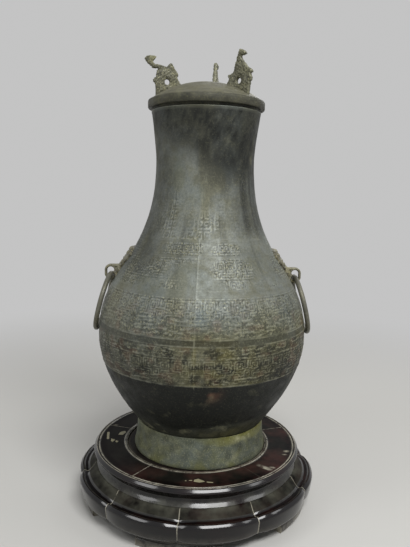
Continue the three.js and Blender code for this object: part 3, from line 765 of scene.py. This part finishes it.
# The lid
LID_SEAT = MOUTH_HEIGHT + SEAT_GAP
RIM_BOTTOM = LID_SEAT + LID_STEP
RIM_TOP = RIM_BOTTOM + LID_RIM
DOME_EDGE = LID_RADIUS - LID_SHOULDER - LID_ROUND
DOME_RADIUS = (DOME_EDGE ** 2 + DOME_RISE ** 2) / (2 * DOME_RISE)
DOME_FOOT = RIM_TOP + 0.7


def dome(radius, offset=0):
    return DOME_FOOT + DOME_RISE - DOME_RADIUS + np.sqrt((DOME_RADIUS + offset) ** 2 - radius ** 2)


def lid():
    radius, normal, _ = flank_at(MOUTH_HEIGHT - TONGUE_DEPTH)
    tongue = radius - WALL / normal - TONGUE_GAP
    inner = tongue - TONGUE_WALL
    low = LID_SEAT - TONGUE_DEPTH
    seat = MOUTH_RADIUS - LID_SEAT_INSET
    under = np.linspace(0, inner - 1, 10)
    over = np.linspace(DOME_EDGE, 0, 26)
    profile = np.vstack([
        np.column_stack([under, dome(under, -LID_WALL)]),
        [(inner, dome(inner, -LID_WALL) - 1.2), (inner, low + 0.6), (inner + 0.6, low), (tongue - 0.8, low),
         (tongue, low + 0.8), (tongue, LID_SEAT), (seat, LID_SEAT), (seat, RIM_BOTTOM + 0.2),
         (LID_RADIUS - 1.4, RIM_BOTTOM), (LID_RADIUS - 0.4, RIM_BOTTOM + 0.4), (LID_RADIUS, RIM_BOTTOM + 1.3),
         (LID_RADIUS, RIM_BOTTOM + 4), (LID_RADIUS, RIM_TOP - 1.6), (LID_RADIUS - 0.5, RIM_TOP - 0.5),
         (LID_RADIUS - LID_ROUND - 0.3, RIM_TOP), (DOME_EDGE + 0.4, RIM_TOP),
         (DOME_EDGE + 0.1, RIM_TOP + 0.3)],
        np.column_stack([over, dome(over)]),
    ])
    points, faces = stitch(around(profile, LID_COLUMNS, VASE_X, VASE_Z))
    x, y, z = points.T
    reach, up, share = np.hypot(x - VASE_X, y), z - VASE_Z, share_of_turn(x, y)
    rim = rise(reach, DOME_EDGE - 0.5, DOME_EDGE + 1) * (up > LID_SEAT - 0.1)
    # painted shade: the lid's underside and tongue are darkened
    painted_lid_inner_shade = (up < dome(np.minimum(reach, DOME_EDGE)) - 1.5) * (reach < LID_RADIUS - 2)
    streak = 0.3 * rise(lattice(share, reach / 70, 30, 44, 41), 0.35, 0.8) * (1 - rim)
    patch = lattice(share, (up - RIM_BOTTOM) / 40, 50, 12, 42)
    make(
        "vase_lid", points, faces, "lid", "bronze_lid", lid_bronze, ["lid"], relief=PLAIN, speckled=0.35,
        shade=np.maximum(rim * (0.9 - 0.4 * patch), painted_lid_inner_shade * 0.8) + streak, crust_at=0.5,
    )


lid()


# Finials: (outwards, up) from the point where the middle of the plate meets the dome
LEANING = [
    (12, -8), (12.4, 3), (15.4, 8.6), (12.2, 12.6), (11.2, 18), (10.2, 20.4), (14.8, 20.2), (17.6, 22.4),
    (20.8, 24.8), (24, 28.8), (22.2, 31.8), (17.2, 33), (11.6, 31.8), (15, 27), (12.8, 24.8), (7.2, 24.4),
    (1.4, 23.2), (-4.1, 27), (-7.2, 23.6), (-8.8, 21.2), (-12.2, 16), (-11.8, 11.6), (-15.6, 6), (-15.6, 0),
]
UPRIGHT = [
    (12.6, -8), (13.8, 3), (16.6, 8.4), (14.6, 12.8), (17.2, 14.4), (14.8, 18), (11.6, 19.6), (5.4, 26.4),
    (2.2, 31.4), (5.6, 32), (8.2, 33), (7.6, 35.4), (2.4, 38.4), (-1.2, 37.4), (-3.4, 30.4), (-6, 22.8),
    (-7.6, 16.6), (-14.6, 14.4), (-13.4, 10), (-16, 6), (-16, 0),
]
TALL = [(x, y * BACK_STRETCH) for x, y in UPRIGHT]
FINIALS = [     # name, degrees round the lid, outline and the place of the eye
    ("left", 198, LEANING, (18.5, 29.6)), ("right", -42, UPRIGHT, (3, 35)), ("back", 77, TALL, (3, 37.4)),
]
FINIAL_STEP = 0.85      # between the points on its face
FINIAL_EDGE, FINIAL_BEVEL, FINIAL_EYE = 1.3, 2.4, 1.5
FINIAL_GROOVES, FINIAL_GROOVE_WIDTH, FINIAL_RAGGED = (1.9, 3.8), 0.45, 0.75
FINIAL_MARGIN = 0.45    # from its edges to the nearest of the points on its face


def within(polygon, x, y):
    """True for each point inside a closed polygon."""
    inside = np.zeros(x.shape, bool)
    for (ax, ay), (bx, by) in zip(polygon, np.roll(polygon, -1, axis=0)):
        crosses = (ay > y) != (by > y)
        at = ax + (y - ay) * (bx - ax) / (by - ay if by != ay else 1e-9)
        inside ^= crosses & (x < at)
    return inside


def finial_plate(outline, seed):
    """Flat points and triangles of a finial, and how deep each point lies within its ragged edges."""
    edge = np.vstack([catmull(outline[:-1], 7), outline[-1:]])
    inward = np.column_stack([np.gradient(edge[:, 1]), -np.gradient(edge[:, 0])])
    inward /= np.maximum(np.linalg.norm(inward, axis=1), 1e-6)[:, None]
    ragged = np.random.default_rng(seed).random(len(edge)) ** 2 * (edge[:, 1] > 2)
    edge = edge - inward * (FINIAL_RAGGED * ragged)[:, None]
    turn = angles(20)
    hole = np.column_stack([FINIAL_HOLE * np.cos(turn), FINIAL_HOLE_HEIGHT + FINIAL_HOLE * np.sin(turn)])
    loops = [np.vstack([loop, loop[:1]]) for loop in (edge, hole)]

    def solid(x, y):
        return within(edge, x, y) & ~within(hole, x, y)

    def depth(x, y):
        return np.min([to_path(loop, x, y) for loop in loops], axis=0)

    x, y = np.meshgrid(*(np.arange(low, high, FINIAL_STEP) for low, high in zip(edge.min(0), edge.max(0))))
    x = x + (np.arange(len(x)) % 2)[:, None] * FINIAL_STEP / 2
    x, y = x.ravel(), y.ravel()
    keep = solid(x, y) & (depth(x, y) > FINIAL_MARGIN)
    sheet = np.vstack([edge, hole, np.column_stack([x, y])[keep]])
    borders = []
    for first, count in ((0, len(edge)), (len(edge), len(hole))):
        borders += [(first + i, first + (i + 1) % count) for i in range(count)]
    at, _, triangles, *_ = delaunay_2d_cdt([Vector(p) for p in sheet], borders, [], 0, 1e-5)
    at = np.array([tuple(p) for p in at])
    triangles = np.array([t for t in triangles if len(t) == 3])
    return at, triangles[solid(*at[triangles].mean(1).T)], depth(*at.T)


def finial(name, angle, outline, eye):
    at, triangles, depth = finial_plate(outline, len(name))
    x, y = at.T
    outer, inner = (peak(depth - at, FINIAL_GROOVE_WIDTH) for at in FINIAL_GROOVES)
    groove = outer + 0.6 * inner
    feather = 0.5 + 0.5 * np.sin(x * 1.3 + y * 1.9)
    lump = lattice(x / 60 + 0.5, (y + 10) / 60, 42, 42, len(name))
    from_bevel = 1 - np.clip(depth / FINIAL_BEVEL, 0, 1)
    half = FINIAL_EDGE + (FINIAL_HALF - FINIAL_EDGE) * np.sqrt(1 - from_bevel ** 2)
    half = half - 0.45 * groove - 0.2 * feather * (depth > 0.6) + 0.8 * (lump - 0.6)
    pupil = np.minimum(np.hypot(x - eye[0], y - eye[1]) / FINIAL_EYE, 1)
    half = half + 0.5 * np.sqrt(1 - pupil ** 2)
    reach = FINIAL_DISTANCE + x
    height = np.maximum(dome(FINIAL_DISTANCE) + y, dome(np.minimum(reach, DOME_EDGE)) - 1)
    cos, sin = math.cos(angle * RAD), math.sin(angle * RAD)
    points = np.vstack([
        np.column_stack([VASE_X + reach * cos - off * sin, reach * sin + off * cos, VASE_Z + height])
        for off in (-half, half)
    ])
    n = len(at)
    faces = [tuple(t) for t in triangles] + [tuple(n + i for i in t[::-1]) for t in triangles]
    used = dict.fromkeys((a, b) for t in triangles for a, b in zip(t, np.roll(t, -1)))
    faces += [(b, a, n + a, n + b) for a, b in used if (b, a) not in used]
    value = np.clip(0.62 - 0.6 * groove + 0.25 * feather, 0, 1)
    make(
        f"finial_{name}_bird", points, faces, "lid", "bronze_finial", finial_bronze, [f"finial_{name}"], 50,
        relief=np.tile(value, 2), speckled=1, shade=0.1, crust_at=0.5,
    )


for each in FINIALS:
    finial(*each)


# Masks and rings, as of the right handle until place() moves them to their side
EYE_RADIUS = RING_BAR + EYE_GAP
LOOP_FACE = flank_at(LOOP_HEIGHT)[0] + 2 * SEAT_GAP + MASK_EDGE
HANG_X = LOOP_FACE + LOOP_OUTSIDE
DROOP = RING_RADIUS - math.sqrt(RING_RADIUS ** 2 - (LOOP_WIDTH / 2) ** 2)
HANG_Z = LOOP_HEIGHT - EYE_GAP + 2 * SEAT_GAP + DROOP
LEAN = math.asin((BELLY_RADIUS + LINE_PROUD + SEAT_GAP + RING_BAR - HANG_X) / (2 * RING_RADIUS))
BAR_POINTS, LOOP_STEPS, SNOUT_STEPS, RING_STEPS = 20, 56, 12, 120
LOOP_THINNER, RING_THINNER = 0.12, 0.03         # the most that a bar is worn, as a share of it
MASK_ROWS, MASK_COLUMNS, MASK_BACK = 64, 54, -0.8
LINES_OF_FACE = [       # a path on the half face, its width and how proud it is
    ([(2, 20), (7, 17.5), (13, 19), (17, 24), (16, 29)], 1.2, 0.9),
    ([(3, 13), (5, 7), (10, 4), (14, 7), (13, 12), (9, 11)], 1.1, 1.0),
    ([(4, 34), (9, 36), (11, 41), (7, 44)], 1.2, 0.8),
    ([(2.6, 15), (3.2, 30), (6, 39)], 0.7, -0.7),
]


def shoulder_point(height, side, out):
    radius, across, up = flank_at(height)
    angle = side / radius
    reach = radius + across * out
    return np.stack([reach * np.cos(angle), reach * np.sin(angle), height + up * out], -1).reshape(-1, 3)


def mask_skin(down, across):
    """How far the mask stands out, from the brow at 0 down to the snout at 1 and from side to side."""
    brow = np.sin(math.pi * np.minimum(down * 1.15 + 0.22, 1))
    x = across * MASK_HALF_WIDTH * (0.42 + 0.58 * brow) * (1 + 0.05 * np.cos(down * 31))
    y, ax = down * 48, np.abs(x)
    out = MASK_EDGE + MASK_RELIEF * (1 - across ** 2) * np.sin(math.pi * (0.12 + 0.8 * down)) * 0.7
    out += 1.9 * peak(down - 0.06, 0.045) * np.cos(across * 7.5) ** 2
    out += 1.2 * peak(down - 0.2, 0.04) * np.cos(across * 6) ** 2
    eye = np.hypot(ax - 8, (y - 25) * 1.15)
    out += 1.3 * np.sqrt(np.clip(1 - (eye / 3.3) ** 2, 0, 1)) - 0.9 * peak(eye - 4.4, 0.8)
    out += 0.9 * peak(ax, 2.1) * rise(y, 8, 14) * (0.6 + 0.4 * np.cos(y * 1.5))
    out += 2.3 * peak(ax, 6) * rise(down, 0.56, 0.8)
    for path, wide, proud in LINES_OF_FACE:
        out += proud * peak(to_path(path, ax, y), wide)
    return x, np.clip(out, 1.0, MASK_EDGE + MASK_RELIEF + 1.2)


def place(points, side):
    """Points of the right handle, moved to the right or the left side of the vase."""
    return points * np.array([side, side, 1]) + np.array([VASE_X, 0, VASE_Z])


def flat_bar():
    """Section of the loop's bar: how far each point is out from its middle, and to the side."""
    turn = angles(BAR_POINTS)
    out, aside = (np.sign(way) * np.abs(way) ** 0.7 for way in (np.cos(turn), np.sin(turn)))
    return out * LOOP_BAR / 2, aside * LOOP_WIDTH / 2


def snout_loop():
    """The loop round its upright eye, a little thinner towards its outer end."""
    rows = []
    wide, deep = flat_bar()
    for angle in angles(LOOP_STEPS):
        cos, sin = math.cos(angle), math.sin(angle)
        thin = 1 - LOOP_THINNER * max(0, cos)
        reach = EYE_RADIUS + LOOP_BAR / 2 + wide * thin
        middle = LOOP_HEIGHT + EYE_RISE * (sin > -1e-9)
        rows.append(np.column_stack([HANG_X + reach * cos, deep * thin, middle + reach * sin]))
    return looped(rows)


def snout_bar():
    """The snout, from inside the mask out to the top of its loop."""
    wide, deep = flat_bar()
    top = LOOP_HEIGHT + EYE_RISE + EYE_RADIUS + LOOP_BAR / 2
    start = flank_at(top)[0]
    rows = []
    for share in np.linspace(0, 1, SNOUT_STEPS):
        swell = 0.96 + 0.9 * (1 - share) ** 2
        middle = top - (LOOP_BAR / 2) * max(swell - 1, 0)
        x = np.full(BAR_POINTS, start + (HANG_X - start) * share)
        rows.append(np.column_stack([x, -deep * swell, middle + wide * swell]))
    return capped(rows)


def mask(name, side):
    down, across = np.meshgrid(np.linspace(0, 1, MASK_ROWS), np.linspace(-1, 1, MASK_COLUMNS), indexing="ij")
    x, out = mask_skin(down, across)
    height = MASK_TOP + (MASK_BOTTOM - MASK_TOP) * down
    rim = np.maximum(np.abs(across), np.abs(2 * down - 1))
    out = out * np.sqrt(np.clip(1 - rise(rim, 0.93, 1.02) * 0.6, 0, 1))
    n = MASK_ROWS * MASK_COLUMNS
    grid = np.arange(n).reshape(MASK_ROWS, MASK_COLUMNS)
    faces = []
    for a, b in zip(grid[:-1, :-1].ravel(), grid[1:, :-1].ravel()):
        faces += [(a, b, b + 1, a + 1), (n + a, n + a + 1, n + b + 1, n + b)]
    border = np.concatenate([grid[0], grid[1:, -1], grid[-1, -2::-1], grid[-2:0:-1, 0]])
    faces += [(a, b, n + b, n + a) for a, b in zip(border, np.roll(border, -1))]
    points = [shoulder_point(height, x, out), shoulder_point(height, x, np.full_like(out, MASK_BACK))]
    value = [np.clip(0.1 + (out.ravel() - 1.4) / 4, 0, 1), np.full(n, 0.3)]
    count = 2 * n
    for more_points, more_faces in (snout_loop(), snout_bar()):
        faces += [tuple(count + i for i in f) for f in more_faces]
        points.append(more_points)
        value.append(np.full(len(more_points), 0.7))
        count += len(more_points)
    make(
        f"mask_{name}_cast", place(np.vstack(points), side), faces, "vessel", "bronze_handle", mask_bronze,
        [f"mask_{name}"], 60, relief=np.concatenate(value), speckled=1, warm=0.3, crust_at=0.6,
    )


def ring(name, side):
    rows = []
    turn = angles(BAR_POINTS)
    for angle in angles(RING_STEPS):
        bar = RING_BAR * (1 - RING_THINNER * lattice(np.array([angle / TURN]), np.array([0.5]), 15, 3, 6))
        reach, off = RING_RADIUS + bar * np.cos(turn), bar * np.sin(turn)
        down = RING_RADIUS + reach * math.cos(angle)
        rows.append(np.column_stack([
            HANG_X + down * math.sin(LEAN) + off * math.cos(LEAN),
            reach * math.sin(angle),
            HANG_Z - down * math.cos(LEAN) + off * math.sin(LEAN),
        ]))
    points, faces = looped(rows)
    make(
        f"ring_{name}_cast", place(points, side), turned_over(faces), f"ring_{name}", "bronze_handle",
        handle_bronze, [f"ring_{name}"], 60, relief=0.62, shade=0.05, crust_at=0.35,
    )


for name, side in (("right", 1), ("left", -1)):
    mask(name, side)
    ring(name, side)


# The stand
def section(*groups):
    """Points, wear and dust of a closed outline. A group is a radius and a height, and then rows of how far
    out and up a point is from there and, where they aren't 0, its rounding, wear and dust."""
    rows = np.array([
        (radius + out, height + up, *rest, *[0] * (3 - len(rest)))
        for radius, height, *group in groups for out, up, *rest in group
    ])
    counts = np.where(rows[:, 2] == 0, 1, CORNER_STEPS + 1)
    return rounded(rows[:, :2], rows[:, 2]), np.repeat(rows[:, 3], counts), np.repeat(rows[:, 4], counts)


FRAME_JOINT_WEAR = [0.95, 0.1, 0.95, 0.8, 0.95]     # at the start of each felloe
WORN_SPOTS = [      # x, y and size of the places on the frame where the lacquer has gone
    (75.6, -71.2, 3), (80.5, -68.0, 1.8), (98, -38, 1.6), (101, -30, 2), (-100, 34, 1.6), (60, 88, 2),
    (-20, 104, 1.6),
]
frame_flat = FRAME_TOP - LIP_PROUD
frame_lip = FRAME_RADIUS - LIP_WIDTH
bead = RECESS_RADIUS + RECESS_BEAD
groove_depth = PANEL_TONGUE + SEAT_GAP
groove_bottom = PANEL_BOTTOM + PANEL_TONGUE_UP
groove_top = groove_bottom + PANEL_TONGUE_HEIGHT + 2 * SEAT_GAP
foot_outer = PETAL_RIM - STAND_FOOT_INSET
foot_inner = foot_outer - STAND_FOOT_DEPTH
frame_section = section(
    (RECESS_RADIUS, FRAME_BOTTOM, (0, 0)),
    (FRAME_RADIUS, FRAME_BOTTOM, (-2.6, 0, 2), (0.5, 2, 1.6)),
    (FRAME_RADIUS, FRAME_TOP, (0.8, -4, 1.2), (-1.9, -1.2, 0.5), (-2.1, -0.2, 0.3, 0.8),
     (-2.7, -0.1, 0.3, 0.8), (-3.1, -0.8, 0.3), (-4.2, -0.8, 0.3)),
    (frame_lip, FRAME_TOP, (0.6, 0, 0.4, 1), (-0.3, -0.3, 0.4, 1)),
    (frame_lip, frame_flat, (-LIP_PROUD, 0, 0.3, 0, 0.3), (-2.4, 0), (-6, 0), (-10, 0, 0, 0, 0.1)),
    (bead, frame_flat, (6, 0, 0, 0, 0.1), (2, 0, 0, 0, 0.1), (LIP_PROUD, 0, 0.3, 0, 0.3)),
    (bead, FRAME_TOP, (0, -0.3, 0.4, 0.9), (-0.9, -0.3, 0.3, 0.9), (-1.6, -0.8, 0.3)),
    (RECESS_RADIUS, FRAME_TOP, (0.8, -0.5, 0.3, 0.5), (0, -0.7, 0.3, 0.5)),
    (RECESS_RADIUS, groove_top, (0, 0), (groove_depth, 0)),
    (RECESS_RADIUS, groove_bottom, (groove_depth, 0), (0, 0)),
)
foot_section = section(
    (foot_inner, 0, (0, 0, 0.6)),
    (foot_outer, 0, (-1.4, 0, 0.8, 0.3), (0, 1.6, 1, 0.5), (0, FOOT_HEIGHT * 0.58, 0.8, 0.2),
     (-2, FOOT_HEIGHT * 0.7, 1, 0.1, 0.3), (-0.6, FOOT_HEIGHT * 0.84, 1, 0.3), (-1.6, FOOT_HEIGHT, 0.3)),
    (foot_inner, FOOT_HEIGHT, (0, 0, 0.3)),
)


def petal_section(share):
    """The section of a petal, which draws in and dips towards its two ends."""
    side = abs(2 * share - 1)
    rim = PETAL_RIM - PETAL_NOTCH * side ** 3
    crest = PETAL_TOP - PETAL_DROP + 1 - PETAL_DIP * side ** 4
    return section(
        (PETAL_INNER, PETAL_BOTTOM, (0, 0)),
        (rim, PETAL_BOTTOM, (-3.6, 0, 1), (-2, 2, 1.5, 0.1), (-0.6, (crest - PETAL_BOTTOM) * 0.55, 4)),
        (rim, crest, (0, -PETAL_ROLL, 1.4), (-3.1, -PETAL_ROLL * 0.12, 1.2),
         (-4.6, -PETAL_ROLL * 0.1, 1, 0.1), (-6.4, -PETAL_ROLL * 0.5, 1.2), (-8.6, -PETAL_ROLL * 0.4, 1.5)),
        (PETAL_SEAT, PETAL_TOP, ((rim - PETAL_SEAT) * 0.3, (crest - PETAL_TOP) * 0.8, 2.5, 0, 0.55),
         (0, 0, 0.5, 0, 1)),
        (PETAL_INNER, PETAL_TOP, (0, 0)),
    )


def reddened_and_shaded_left(points):
    """The lacquer has turned red at the front and the right, and is kept black at the left as painted shade.
    """
    return 0.05 + 0.95 * rise(np.degrees(np.arctan2(points[:, 0], -points[:, 1])), -60, -5)


def stand_lengths(
    name, node, count, first, angle, section_at, steps, edge=0.5,
    joint_wear=0.95, joint_reach=np.inf, spots=(), red=1,
):
    """Pieces of the stand, evenly spaced round it. joint_wear says how worn the start of each is, or of all,
    out to a radius of joint_reach."""
    joint_wear = np.broadcast_to(joint_wear, count)
    _, section_wear, section_dust = section_at(0.5)
    for i in range(count):
        start = first + 360 / count * i
        points, faces, shares = swept(lambda share: section_at(share)[0], start, start + angle, steps, edge)
        x, y, z = points.T
        piece_name = f"stand_{name}_{i + 1}"
        sections = len(points) // len(section_wear)
        worn = 0.45 + 0.55 * lattice(shares, x / 300 + 0.5, 9, 40, len(piece_name))
        ends = (shares == 0) * joint_wear[i] + (shares == 1) * joint_wear[(i + 1) % count]
        wear = np.maximum(np.tile(section_wear, sections) * worn, ends * (np.hypot(x, y) < joint_reach))
        for spot_x, spot_y, size in spots:
            worn = fall(np.hypot(x - spot_x, y - spot_y) / size, 0.7, 1.3)
            wear = np.maximum(wear, worn * (z > z.max() - 2))
        dust = np.tile(section_dust, sections)
        piece = make(
            piece_name, points, faces, "stand", "lacquer", shiny_lacquer, [f"stand_{node}_{i + 1}"],
            wear=wear, dust=dust, red=red * reddened_and_shaded_left(points),
        )
        piece.data.materials.append(flat_lacquer)
        for polygon in piece.data.polygons:
            dusty = np.mean([dust[corner] for corner in polygon.vertices]) > 0.5
            polygon.material_index = int(polygon.normal.z > 0.9 or dusty)


stand_lengths(
    "rail", "felloe", 5, FRAME_JOINT, 72, lambda share: frame_section, steps=80, edge=0.75,
    joint_wear=FRAME_JOINT_WEAR, joint_reach=frame_lip - 1, spots=WORN_SPOTS,
)
stand_lengths("lobe", "petal", 10, CUSP_ANGLE, 36, petal_section, steps=28, edge=0.8, red=0.35)
stand_lengths(
    "block", "foot", 5, CUSP_ANGLE - STAND_FOOT_HALF, 2 * STAND_FOOT_HALF, lambda share: foot_section,
    steps=16,
)

# The bone inlays on the frame: (x, y) corners on its top
INLAYS = [
    [(-1.5, -96.2), (2.6, -94.4), (6, -96.8), (9.4, -99.8), (3.6, -101.6), (-2.4, -100)],
    [(-11.4, -98.6), (-10, -97.6), (-8.8, -98.6), (-10.2, -99.6)],
    [(-7, -97.2), (-3.6, -97.2), (-3.6, -98.4), (-7, -98.5)],
    [(11, -99.6), (17.6, -100.8), (17.2, -102.2), (10.8, -101.4)],
    [(-107.2, 13.2), (-104.3, 13.4), (-102, -5.8), (-104.6, -6)],
    [(-93, 6.6), (-92, 12), (-90, 16), (-86, 17), (-84.6, 13.4), (-87.4, 6.2)],
    [(-99.6, -3.6), (-97.2, -6.4), (-95.6, -5.4), (-94.8, -9), (-97, -13.6), (-99.2, -10)],
    [(-93.6, -9.2), (-90.2, -10.6), (-91.2, -14.8), (-93.4, -13)],
]
INLAY_RISE = [(1, -0.3), (1, 0.04), (0.94, 0.1), (0.6, 0.12)]   # scale and height of an inlay's rows
for i, corners in enumerate(INLAYS):
    outline = rounded(corners, 0.8)
    middle = outline.mean(0)
    rows = [
        np.column_stack([middle + (outline - middle) * scale, np.full(len(outline), frame_flat + up)])
        for scale, up in INLAY_RISE
    ]
    points, faces = stitch(rows + [np.array([[*middle, frame_flat + INLAY_RISE[-1][1]]])])
    faces.append(tuple(range(len(outline)))[::-1])
    if sum(a[0] * b[1] - b[0] * a[1] for a, b in zip(outline, np.roll(outline, -1, axis=0))) < 0:
        faces = turned_over(faces)
    make(f"stand_inlay_{i + 1}", points, faces, "stand", "lacquer", inlay, wear=0, dust=0.5, red=1)


COVE_STEPS, BATTEN_STEPS = 14, 25


def turned_wood(name, node, rows, slot, material):
    """A round piece of the stand, from rows of radius, height, wear and dust."""
    rows = np.array(rows)
    circles = around(rows[:, :2], WOOD_COLUMNS)
    points, faces = stitch(circles)
    wear, dust = (np.repeat(each, [len(circle) for circle in circles]) for each in rows[:, 2:].T)
    make(name, points, faces, "stand", slot, material, [node], wear=wear, dust=dust, red=reddened_and_shaded_left(points))


def collar():
    share = np.linspace(0, 1, COVE_STEPS)
    face = COLLAR_OUTER + 2 * (1 - share) - COLLAR_COVE * np.sin(math.pi * share)
    height = COLLAR_BOTTOM + COLLAR_HEIGHT * share
    turned_wood("stand_cove", "stand_collar", [
        (COLLAR_INNER, COLLAR_BOTTOM, 0, 0),
        *np.column_stack([face, height, np.zeros(len(share)), 0.9 * (1 - share) ** 2]),
        (COLLAR_INNER, COLLAR_TOP, 0, 0), (COLLAR_INNER, COLLAR_BOTTOM, 0, 0),
    ], "lacquer", shiny_lacquer)


def panel():
    outer = RECESS_RADIUS - SEAT_GAP
    tongue_bottom = PANEL_BOTTOM + PANEL_TONGUE_UP + SEAT_GAP
    tongue_top = tongue_bottom + PANEL_TONGUE_HEIGHT
    turned_wood("stand_floor", "stand_panel", [
        (0, PANEL_BOTTOM, 0, 0), (outer, PANEL_BOTTOM, 0, 0), (outer, tongue_bottom, 0, 0),
        (outer + PANEL_TONGUE, tongue_bottom, 0, 0), (outer + PANEL_TONGUE, tongue_top, 0, 0),
        (outer, tongue_top, 0, 0), (outer, PANEL_TOP - 0.5, 0.4, 0), (outer - 0.5, PANEL_TOP, 0.5, 0.3),
        (outer - 3, PANEL_TOP, 0, 0.5), (0, PANEL_TOP, 0, 0.3),
    ], "panel_wood", panel_lacquer)


def batten():
    half = math.sqrt((COLLAR_INNER - SEAT_GAP) ** 2 - (BATTEN_WIDTH / 2) ** 2) - 0.5
    top = PANEL_BOTTOM - SEAT_GAP
    side, low = BATTEN_WIDTH / 2, top - BATTEN_HEIGHT
    outline = rounded([(-side, low), (side, low), (side, top), (-side, top)], 0.8)
    steps = np.linspace(-half, half, BATTEN_STEPS)
    points, faces = capped([np.column_stack([np.full(len(outline), x), outline]) for x in steps])
    make(
        "stand_bar", points, faces, "stand", "panel_wood", panel_lacquer, ["stand_batten"],
        wear=0, dust=0, red=reddened_and_shaded_left(points),
    )


collar()
panel()
batten()


# Floor, light and camera
BACKDROP = 0.55     # brightness of the backdrop, where 1 is white
SKY_LIGHT = 0.28    # strength of the world's light on the object
FLOOR_REACH = 4.0
CAMERA_AT = (-2.2, -620, 345.7)
SENSOR = 36
FOCAL_LENGTH, PICTURE_HEIGHT = 553.3, 547       # pixels


def seen_directly(tree):
    """1 for a ray from the camera or one that a mirror or glass sends on, and 0 for scattered light."""
    path = add(tree, "ShaderNodeLightPath").outputs
    seen = maths(tree, "MAXIMUM", path["Is Camera Ray"], path["Is Glossy Ray"])
    return maths(tree, "MAXIMUM", seen, path["Is Transmission Ray"])


def floor():
    """The floor shows its own light and shadow near the vase, and turns into the backdrop further out."""
    material, tree, shader = new_material("floor")
    plug(tree, shader, "Base Color", tone("c9c8c4"))
    plug(tree, shader, "Roughness", 0.9)
    plug(tree, shader, "Specular IOR Level", 0.1)
    away = add(tree, "ShaderNodeVectorMath", {0: place_in(tree)}, operation="LENGTH").outputs["Value"]
    limits = {"Value": away, "From Min": 0.35, "From Max": 1.1}
    far = add(tree, "ShaderNodeMapRange", limits, interpolation_type="SMOOTHSTEP").outputs[0]
    glow = add(tree, "ShaderNodeEmission", {"Color": grey(1), "Strength": BACKDROP}).outputs[0]
    share = times(tree, far, seen_directly(tree))
    both = add(tree, "ShaderNodeMixShader", {0: share, 1: shader.outputs[0], 2: glow}).outputs[0]
    plug(tree, tree.nodes["Material Output"], "Surface", both)
    mesh = bpy.data.meshes.new("floor")
    corners = [(x * FLOOR_REACH, y * FLOOR_REACH, 0) for x, y in ((-1, -1), (1, -1), (1, 1), (-1, 1))]
    mesh.from_pydata(corners, [], [(0, 1, 2, 3)])
    mesh.materials.append(material)
    plane = put("floor", mesh)


def lamp(name, place, target, size, power):
    data = bpy.data.lights.new(name, "AREA")
    data.shape = "RECTANGLE"
    data.size, data.size_y = size
    data.energy = power
    light = put(name, data)
    light.location = place
    light.rotation_euler = (Vector(target) - Vector(place)).to_track_quat("-Z", "Y").to_euler()


def world():
    sky = bpy.data.worlds.new("world")
    bpy.context.scene.world = sky
    sky.use_nodes = True
    tree = sky.node_tree
    background = tree.nodes["Background"]
    plug(tree, background, "Color", grey(1))
    plug(tree, background, "Strength", span(tree, seen_directly(tree), 0, 1, SKY_LIGHT, BACKDROP))


def camera():
    """The camera of the photograph, looking down by pitch."""
    pitch, roll, yaw = 8.05 * RAD, 1.24 * RAD, -0.76 * RAD
    turn = Matrix.Rotation(yaw, 4, "Z")
    for angle, axis in ((math.pi / 2 - pitch, "X"), (roll, "Z")):
        turn = turn @ Matrix.Rotation(angle, 4, axis)
    data = bpy.data.cameras.new("camera")
    data.sensor_width = SENSOR
    data.lens = SENSOR * FOCAL_LENGTH / PICTURE_HEIGHT
    data.clip_start = 0.01
    view = put("camera", data)
    view.matrix_world = Matrix.Translation(Vector(CAMERA_AT) * MM) @ turn
    bpy.context.scene.camera = view


floor()
lamp("key", (0.35, -1.0, 1.45), (0, 0, 0.25), (0.9, 0.5), 22)
lamp("left", (-1.0, -0.6, 1.1), (0, 0, 0.1), (0.5, 0.35), 3)
lamp("right", (1.2, -0.3, 1.1), (0, 0, 0.1), (0.5, 0.35), 2.5)
lamp("back", (0.5, 0.9, 1.0), (0, 0, 0.3), (0.8, 0.5), 3)
world()
camera()
bpy.context.scene.view_settings.view_transform = "Standard"
